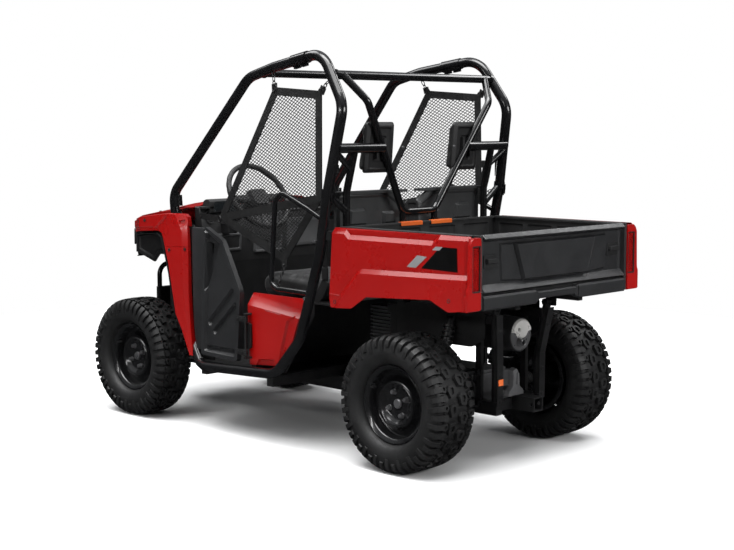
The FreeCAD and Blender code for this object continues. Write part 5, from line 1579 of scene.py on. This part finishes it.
def dash_panels():
    """Glove box, middle panel, open tray and switches."""
    bm = bmesh.new()
    glove = soften([(-410, 850), (-130, 850), (-130, 1010), (-410, 1010)], 14)
    take(bm, pressed(glove, [(glove, 7, 8), (inset(glove, 22), -3, 6)], dash_face, 8))
    middle = soften([(-105, 830), (100, 830), (110, 1050), (-115, 1050)], 14)
    take(bm, pressed(middle, [(middle, 9, 8), (inset(middle, 14), -4, 6)], dash_face, 8))
    cubby = soften([(180, 850), (400, 850), (400, 950), (180, 950)], 12)
    take(bm, pressed(cubby, [(cubby, 6, 8), (inset(cubby, 16), -10, 8)], dash_face, 8))
    for y in (-60, -20, 20, 60):
        take(bm, pressed(soften([(y - 14, 985), (y + 14, 985), (y + 14, 1025), (y - 14, 1025)], 3), [],
                         dash_face, -7))
    piece("dash_panels", bm, "grey", smooth=30, bevel=1.5)


def dash_fittings():
    """Vents, knobs, ignition and grab bar."""
    bm = bmesh.new()
    for y in (-380, 380):
        rings_on(bm, dash_face, (y, 1036), [(0, 36), (9, 36), (9, 30), (2, 28)])
        for k in range(5):
            w = math.sqrt(28 ** 2 - (k * 11 - 22) ** 2) * 0.95
            z = 1036 + k * 11 - 22
            prism(bm, [(y - w, z - 1.5), (y + w, z - 1.5), (y + w, z + 1.5), (y - w, z + 1.5)], dash_face, 2,
                  6)
    for y, z in ((-52, 900), (0, 900), (52, 900)):
        rings_on(bm, dash_face, (y, z), [(5, 13), (14, 12), (14, 10)], 20)
    rings_on(bm, dash_face, (130, 930), [(0, 15), (10, 15), (12, 12)], 20)
    for y in (-390, -150):
        tube(bm, [(560, y, 1054), (528, y, 1050), (528, y + (90 if y < -200 else -90), 1050)], 9, 24, 14)
    tube(bm, [(528, -310, 1050), (528, -230, 1050)], 9, 24, 14)
    piece("dash_fittings", bm, "dark", smooth=40, bevel=0.8)


def gauge():
    """The gauge pod over the column and its plain screen."""
    bm = bmesh.new()
    hood_shape = soften([(556, 1050), (612, 1052), (612, 1112), (586, 1126), (556, 1118)], 12)
    prism(bm, hood_shape, upright, 190, 390)
    piece("gauge_pod", bm, "dash", smooth=40, bevel=6.0, segments=3)
    bm = bmesh.new()
    take(bm, pressed(soften([(212, 1060), (368, 1060), (360, 1112), (220, 1112)], 10), [],
                     facing_back(555.5), 1.5))
    piece("gauge_face", bm, "screen", smooth=40)


WHEEL_CENTRE = Vector((297, 290, 1147))
RAKE = math.radians(33)
TOWARD = Vector((-math.cos(RAKE), 0, math.sin(RAKE)))
WHEEL_UP = Vector((math.sin(RAKE), 0, math.cos(RAKE)))
LEFT = Vector((0, 1, 0))


def on_wheel(u, v, h):
    """A point in the steering wheel's plane: to the left, up and toward the driver."""
    return WHEEL_CENTRE + LEFT * u + WHEEL_UP * v + TOWARD * h


def on_axis(bm, profile, sides):
    """A turned solid on the steering axis, from (place toward the driver, radius)."""
    loft(bm, [disc(WHEEL_CENTRE + TOWARD * t, LEFT, WHEEL_UP, r, sides) for t, r in profile])


def steering():
    """Steering wheel with a shaped grip, three flat spokes and a plain centre pad."""
    bm = bmesh.new()
    rings = []
    for i, out in enumerate(disc(Vector(), LEFT, WHEEL_UP, 1, 96)):
        ring = []
        for b in turns(16):
            notch = 0.9 if math.sin(b) < -0.3 and i % 4 < 2 else 0
            r, t = (13.4 - notch) * math.cos(b), (14.5 - notch) * math.sin(b)
            ring.append(WHEEL_CENTRE + out * (175 + r) + TOWARD * t)
        rings.append(ring)
    loft(bm, rings, looped=True)
    piece("wheel_grip", bm, "grip", "steering_wheel", replaces=("steering_wheel",), smooth=50)
    bm = bmesh.new()
    for angle in (0, 180, 270):
        c, s = math.cos(math.radians(angle)), math.sin(math.radians(angle))
        rows = []
        for r, w, h in ((30, 26, -12), (70, 19, -13), (120, 15, -11), (168, 17, -2)):
            row = []
            for across, lift in ((w, 0), (w * 0.6, 4), (-w * 0.6, 4), (-w, 0), (-w * 0.6, -4), (w * 0.6, -4)):
                row.append(on_wheel(c * r - s * across, s * r + c * across, h + lift))
            rows.append(row)
        loft(bm, rows)
    pad = soften([(-58, 28), (-44, 44), (44, 44), (58, 28), (52, -44), (34, -56), (-34, -56), (-52, -44)], 10)
    frustum(bm, pad, on_wheel, -20, 10, 9)
    on_axis(bm, [(-34, 45), (-18, 45), (-12, 39)], 40)
    on_axis(bm, [(-100, 9.8), (-30, 9.8)], 20)
    piece("wheel_spokes", bm, "dark", "steering_wheel", smooth=40, bevel=1.0)


def steering_column():
    """The column's jacket with its two stalks and its bracket."""
    bm = bmesh.new()
    for start, end, radius in ((42, 92, 31), (92, 230, 22)):
        on_axis(bm, [(-start, radius - 4), (-start - 3, radius), (3 - end, radius), (-end, radius - 4)], 36)
    for s in (1, -1):
        start = WHEEL_CENTRE - TOWARD * 66 + Vector((0, s * 26, 0))
        end = start + Vector((-26, s * 78, 12))
        tube(bm, [start, start.lerp(end, 0.5), end], 5, 10, 12)
        tube(bm, [end, end + (end - start).normalized() * 34], 8.5, 10, 14)
    box(bm, (495, 560), (262, 318), (950, 1000))
    piece("column_jacket", bm, "dark", replaces=("steering_column",), smooth=40)


fenders()
pillar_trim()
hood()
fascia()
grille()
lamp_housings()
headlamps()
cushions()
backs()
headrests()
seat_shells()
seat_divider()
belts()
dash()
dash_panels()
dash_fittings()
gauge()
steering()
steering_column()


# Window nets
NET_CORNERS = [(-88, 529, 1672), (-424, 553, 1649), (-430, 560, 1164), (-170, 545, 863), (317, 530, 1043)]
NET_TRIOS = [(0, 1, 2), (0, 2, 3), (0, 3, 4)]
NET_EDGE = 34
NET_PITCH = 14
NET_RUNS = 60
NET_MIDDLE = (-150, 1270)
NET_ENDS = [(-57, 508, 1744), (-490, 558, 1706), (-484, 590, 1168), (-166, 580, 762), (560, 452, 1045)]


def net_depth(u, v):
    """The net's place across the vehicle at a place along it and a height."""
    for trio in NET_TRIOS:
        a, b, c = (NET_CORNERS[i] for i in trio)
        flat = [(p[0], p[2]) for p in (a, b, c)]
        if depth_in(flat, (u, v)) >= -1.0:
            whole = area_of(flat)
            weights = [area_of([(u, v), flat[1], flat[2]]), area_of([flat[0], (u, v), flat[2]]),
                       area_of([flat[0], flat[1], (u, v)])]
            return sum(w / whole * p[1] for w, p in zip(weights, (a, b, c)))
    return NET_CORNERS[3][1]


def clip_run(outline, start, direction):
    """The part of a line that lies inside a convex outline."""
    low, high = -1e9, 1e9
    sign = 1 if area_of(outline) > 0 else -1
    for a, b in edges_of(outline):
        edge = Vector(b) - Vector(a)
        normal = Vector((-edge.y, edge.x)) * sign
        dist, rate = (Vector(start) - Vector(a)).dot(normal), Vector(direction).dot(normal)
        if abs(rate) < 1e-9:
            if dist < 0:
                return None
            continue
        t = -dist / rate
        low, high = (max(low, t), high) if rate > 0 else (low, min(high, t))
    return (low, high) if high > low + 2 else None


def threads(bm):
    """Open netting made of two families of flat crossing threads."""
    area = inset([(p[0], p[2]) for p in NET_CORNERS], NET_EDGE - 8)
    for slope, lift in ((-0.80, 0.5), (0.43, -0.5)):
        direction = Vector((1, slope)).normalized()
        across = Vector((-direction.y, direction.x))
        for k in range(-NET_RUNS, NET_RUNS + 1):
            start = Vector(NET_MIDDLE) + across * (k * NET_PITCH)
            found = clip_run(area, start, direction)
            if not found:
                continue
            low, high = found
            parts = max(1, int((high - low) / 60))
            rows = []
            for i in range(parts + 1):
                spot = start + direction * (low + (high - low) * i / parts)
                y = net_depth(spot.x, spot.y) + lift
                rows.append([(spot.x + across.x * a, y + b, spot.y + across.y * a)
                             for a, b in ((1.55, -1), (1.55, 1), (-1.55, 1), (-1.55, -1))])
            loft(bm, rows)


def net_webbing(bm):
    """Webbing along the net's edges and across its middle."""
    edge = inset([(p[0], p[2]) for p in NET_CORNERS], NET_EDGE / 2)
    count = len(edge)
    runs = [(Vector(edge[i]), Vector(edge[(i + 1) % count]), 14) for i in range(count)]
    runs.append((Vector(edge[2]), Vector(edge[4]), -6))
    for number, (a, b, extra) in enumerate(runs):
        reach = (b - a).normalized() * extra
        a, b = a - reach, b + reach
        lift = 0.9 * (number % 2) + (1.6 if number == count else 0)
        for layer in (-1, 1):
            line = []
            for k in range(9):
                p = a.lerp(b, k / 8)
                line.append((p.x, net_depth(p.x, p.y) + layer * (2.2 + lift * 0.4), p.y))
            strap(bm, line, NET_EDGE + 3, 1.7)


def chain(bm, start, end, size=7.0, wire=2.0):
    """Oval links between two points, each turned a quarter against the last."""
    start, end = Vector(start), Vector(end)
    along = (end - start).normalized()
    side = along.cross(Vector((0, 1, 0))).normalized()
    other = along.cross(side)
    gap = size * 2.9
    count = max(1, round((end - start).length / gap))
    for k in range(count):
        middle = start.lerp(end, (k + 0.5) / count)
        half = (end - start).length / count * 0.5 + wire
        out = side if k % 2 else other
        line = [middle + along * half * math.cos(a) + out * size * math.sin(a) for a in turns(20)]
        sweep(bm, line, circle(wire, 8), closed=True)


def nets():
    """Both window nets, each one sewn sheet, with the rings, chains and tabs that hold them."""
    flat = [(p[0], p[2]) for p in NET_CORNERS]
    area = abs(area_of(flat)) / 2 / 1e6
    bm = bmesh.new()
    threads(bm)
    count = len(bm.faces)
    net_webbing(bm)
    bm.faces.ensure_lookup_table()
    for face in bm.faces[count:]:
        face.material_index = 1
    for side, mesh in (("left", bm.copy()), ("right", mirrored(bm))):
        net = piece(f"net_{side}_sheet", mesh, "thread", replaces=(f"net_{side}",), smooth=50)
        net.data.materials.append(FINISH["web"])
    bm.free()
    bm = bmesh.new()
    for corner, end in zip(NET_CORNERS, NET_ENDS):
        corner, end = Vector(corner), Vector(end)
        along = (end - corner).normalized()
        ring = corner - along * 4
        side = along.cross(Vector((0, 1, 0))).normalized()
        sweep(bm, disc(ring, along, side, 15, 24), circle(2.8, 8), closed=True)
        if (end - corner).length < 150:
            chain(bm, ring + along * 12, end, 7.5, 2.3)
    pair("net_rings", bm, "satin", smooth=60)
    bm = bmesh.new()
    strap(bm, [(318, 529, 1043), (360, 518, 1043), (470, 480, 1044), (556, 452, 1046)], 30, 2.4)
    strap(bm, [(-88, 528, 1660), (-82, 524, 1690)], 34, 5)
    strap(bm, [(-424, 553, 1640), (-440, 553, 1668)], 34, 5)
    strap(bm, [(-172, 546, 880), (-169, 548, 846)], 34, 5)
    pair("net_tabs", bm, "web", smooth=50)


# Roll frame fittings
def sleeve(bm, start, end, radius, bolts=2):
    """A clamped joint round a tube: two shells, their flanges and bolts."""
    start, end = Vector(start), Vector(end)
    along = (end - start).normalized()
    length = (end - start).length
    sweep(bm, [start, start + along * 4, end - along * 4, end], circle(radius, 28))
    side = along.cross(Vector((0, 0, 1))).normalized()
    down = side.cross(along).normalized()
    if down.z > 0:
        down = -down
    for k in range(bolts):
        spot = start.lerp(end, (k + 0.5) / bolts)
        for s in (1, -1):
            head = spot + down * (radius - 2) + side * s * 2
            sweep(bm, [head, head + side * s * 13], circle(6.5, 6))
        half = length / bolts * 0.36
        for s in (1, -1):
            a = spot - along * half + down * (radius - 4) + side * s * 2
            b = spot + along * half + down * (radius - 4) + side * s * 2
            loft(bm, [[a, a + side * s * 5, a + side * s * 5 + down * 14, a + down * 14],
                      [b, b + side * s * 5, b + side * s * 5 + down * 14, b + down * 14]])


def frame_fittings():
    """Clamped joints, gussets, seat belt anchors and bolts on the roll frame."""
    bm = bmesh.new()
    sleeve(bm, (-315, 530, 1805), (-205, 519, 1788), 28)
    sleeve(bm, (-507, 602.5, 1150), (-513, 602, 1215), 27.5, 1)
    sleeve(bm, (608, 560, 1150), (604, 559, 1096), 27, 1)
    for spot, out in (((30, 492, 1741), (0, -1, 0)), ((-495, 540, 1722), (0, -1, 0))):
        centre = Vector(spot)
        sweep(bm, [centre, centre + Vector(out) * 10], circle(24, 28))
    gusset = [(-515, 1245), (-515, 1330), (-545, 1392), (-548, 1376), (-524, 1318)]
    prism(bm, gusset, upright, 560, 566)
    for z in (352, 1060):
        bolt(bm, (578, 560, z), "Y", 1, 7, 6)
    pair("frame_joints", bm, "frame", smooth=40)
    bm = bmesh.new()
    for x, y, z in ((-450, 627, 985), (-380, 622, 720)):
        sweep(bm, [(x, y - 6, z), (x, y + 1, z)], circle(8, 6))
    for y in (180, 364):
        bolt(bm, (-576, y, 1396), "X", -1, 6, 5)
    for z in (1030, 1012):
        bolt(bm, (-514, 505, z), "X", -1, 6, 5)
    pair("frame_bolts", bm, "nut", smooth=30)


# Underbody and running gear
def coil(bm, foot, head, radius, wire, rounds):
    """A coil spring between two points, with closed ends."""
    along = (head - foot).normalized()
    side, other = cross_axes(along)
    steps = int(rounds * 22)
    line = []
    for i in range(steps + 1):
        t = i / steps
        rise = t + 0.035 * math.sin(math.tau * t)
        a = math.tau * rounds * t
        out = side * math.cos(a) + other * math.sin(a)
        line.append(foot + along * (head - foot).length * rise + out * radius)
    sweep(bm, line, circle(wire, 10))


def shocks():
    """Four coil-over dampers with their eyes, spring seats and bodies."""
    springs, bodies = bmesh.new(), bmesh.new()
    for x, foot_y, head_y, head_z in ((947, 340, 200, 698), (-905, 300, 214, 650)):
        foot, head = Vector((x, foot_y, 410)), Vector((x, head_y, head_z - 4))
        along = (head - foot).normalized()
        side, other = cross_axes(along)
        length = (head - foot).length
        coil(springs, foot + along * 34, head - along * 42, 26, 4.0, 8)
        shaft = [(0, 8), (length - 30, 8)]
        foot_seat = [(24, 28), (34, 30), (38, 12)]
        can = [(length * 0.42, 19), (length - 48, 19), (length - 46, 29), (length - 38, 29),
               (length - 36, 20), (length - 20, 18)]
        neck = [(length - 24, 12), (length - 2, 12)]
        for section in (shaft, foot_seat, can, neck):
            loft(bodies, [disc(foot + along * t, side, other, r, 28) for t, r in section])
        for end, inward in ((foot, 8), (head, -8)):
            rod(bodies, [(-16, 13), (16, 13)], end + along * inward, 24, "X")
    pair("shock_springs", springs, "spring", smooth=60)
    pair("shock_bodies", bodies, "satin", replaces=("shocks",), smooth=40)


def shafts():
    """Half shafts with ribbed boots."""
    bm = bmesh.new()
    for x, start, end in ((947, 170, 359), (-905, 170, 350)):
        rod(bm, [(100, 13), (end - 4, 13)], (x, 0, AXLE), 20)
        for low, length, big_first in ((start + 8, 38, True), (end - 45, 45, False)):
            rows = []
            for k in range(6):
                share = k / 5
                radius = 31 - 13 * (share if big_first else 1 - share)
                rows += [(low + length * share * 0.98, radius - 4), (low + length * share * 0.98 + 2, radius)]
            rows.append((low + length, rows[-1][1] - 4))
            rod(bm, rows, (x, 0, AXLE), 32)
    pair("half_shafts", bm, "boot", slot="cast_metal", replaces=("drive_shafts",), smooth=50)


CAN_CENTRE = (0, 28, 573)


def on_can(u, v, h):
    """Across and up from the muffler's middle, drawn out towards the tail from its end."""
    return -1154 - h, CAN_CENTRE[1] + u, CAN_CENTRE[2] + v


def muffler():
    """Muffler with its pipe, end shield and tip."""
    bm = bmesh.new()
    rod(bm, [(-1153, 60), (-1151, 74), (-1146, 78), (-834, 78), (-829, 74), (-827, 60)], CAN_CENTRE, 64, "X")
    for x in (-1060, -930):
        lathe(bm, [(x - 9, 78), (x - 9, 80.5), (x + 9, 80.5), (x + 9, 78)], CAN_CENTRE, 64, "X")
    tube(bm, [(-830, 28, 573), (-780, 28, 573), (-700, 28, 573), (-604, 28, 573)], 21, 40, 24)
    piece("muffler_can", bm, "satin", slot="cast_metal", replaces=("muffler",), smooth=40)
    bm = bmesh.new()
    half = [(72 * math.cos(a), 72 * math.sin(a)) for a in (math.radians(12 + i * 156 / 24) for i in range(25))]
    half += [(-46, 10), (-30, -12), (0, -20), (30, -12), (46, 10)]
    bowl = [(22 + 10 * math.cos(a), 26 + 12 * math.sin(a)) for a in turns(20)]
    take(bm, pressed(half, [(half, 8, 7), (bowl, -6, 4)], on_can, 4))
    piece("muffler_shield", bm, "shield", smooth=34)
    bm = bmesh.new()
    rod(bm, [(-1156.5, 58), (-1155, 68), (-1151, 72)], CAN_CENTRE, 48, "X")
    lathe(bm, [(-1184, 12), (-1185, 14), (-1184, 16), (-1130, 16), (-1130, 12)], (0, 48, 543), 32, "X")
    piece("muffler_tip", bm, "nut", smooth=40)


def engine():
    """Engine case with cooling fins and side covers."""
    bm = bmesh.new()
    box(bm, (-598, -242), (-128, 128), (252, 420))
    for z in range(430, 636, 17):
        fin = soften([(-560, -118), (-300, -118), (-300, 118), (-560, 118)], 18, 2)
        prism(bm, fin, level, z, z + 7)
    box(bm, (-548, -312), (-104, 104), (420, 632))
    prism(bm, soften([(-570, -96), (-300, -96), (-300, 96), (-570, 96)], 20, 2), level, 622, 639)
    for x in (-500, -340):
        rod(bm, [(-129, 78), (-122, 84), (122, 84), (129, 78)], (x, 0, 338), 40)
        for a in turns(6):
            for s in (1, -1):
                bolt(bm, (x + 68 * math.cos(a), s * 128, 338 + 68 * math.sin(a)), "Y", s, 5, 3)
    piece("engine_case", bm, "cast", replaces=("engine_block",), smooth=30, bevel=2.0)


def drive_cases():
    """Front and rear gear cases with ribs, and the shaft between them."""
    bm = bmesh.new()
    for low, high, wide, x_mid in ((-995, -602, 108, -905), (884, 1010, 98, 947)):
        top = 398 if low < 0 else 378
        box(bm, (low, high), (-wide + 14, wide - 14), (242, top - 12))
        box(bm, (low + 12, high - 12), (-wide + 30, wide - 30), (top - 14, top))
        for k in range(int((high - low - 30) / 40)):
            x = low + 20 + k * 40
            box(bm, (x, x + 6), (-wide + 4, wide - 4), (246, top - 20))
        rod(bm, [(-wide, 50), (-wide + 6, 56), (wide - 6, 56), (wide, 50)], (x_mid, 0, AXLE), 36)
    rod(bm, [(-238, 18), (880, 18)], (0, 0, 262), 24, "X")
    piece("drive_cases", bm, "cast", replaces=("final_drives",), smooth=30, bevel=2.5)


def tail_stays():
    """Flat stay bars from the hitch up to the bed's hinge."""
    bm = bmesh.new()
    for s in (1, -1):
        top, foot = (s * 186, 676), (s * 150, 262)
        bend = (s * 152, 470)
        for (a, b), (c, d) in ((foot, bend), (bend, top)):
            shape = [(a - 21, b), (a + 21, b), (c + 21, d), (c - 21, d)]
            lean = 0 if d < 500 else 22
            low = [Vector((-1131, u, v)) for u, v in shape[:2]] + [Vector((-1131 - lean, u, v)) for u,
                                                                   v in shape[2:]]
            loft(bm, [low, [p - Vector((6, 0, 0)) for p in low]])
        for z in (285, 400, 600):
            y = s * (150 if z < 470 else 150 + (z - 470) * 0.17)
            bolt(bm, (-1137 - (0 if z < 470 else (z - 470) * 0.107), y, z), "X", -1, 7, 5)
    piece("tail_stays", bm, "satin", smooth=30, bevel=1.0)


def tail_details():
    """Hitch casting, blank tag and splash plates."""
    bm = bmesh.new()
    cast = soften([(-62, 300), (62, 300), (50, 330), (26, 344), (22, 390), (30, 420), (-6, 430), (-26, 400),
                   (-30, 346), (-54, 330)], 8, 2)
    frustum(bm, cast, lambda u, v, h: (-1128 - h, u + 60, v), 0, 26, 5)
    frustum(bm, [(20, 352), (40, 352), (38, 408), (24, 408)], lambda u, v, h: (-1150 - h, u + 22, v), 0, 12,
            3)
    box(bm, (-1128, -1060), (0, 120), (296, 330))
    piece("hitch_casting", bm, "cast", smooth=30, bevel=1.5)
    bm = bmesh.new()
    box(bm, (-1140.5, -1138.2), (134, 166), (356, 384))
    piece("stay_tag", bm, "orange", bevel=0.5)
    bm = bmesh.new()
    for s in (1, -1):
        shape = [(-556, 470), (-556, 712), (-1084, 712), (-1084, 560), (-1010, 520), (-820, 520), (-740, 470)]
        prism(bm, soften(shape, 16, 2), lambda u, v, h, s=s: (u, s * h, v), 193, 196)
    piece("splash_plates", bm, "dark", smooth=30)


nets()
frame_fittings()
shocks()
shafts()
muffler()
engine()
drive_cases()
tail_stays()
tail_details()
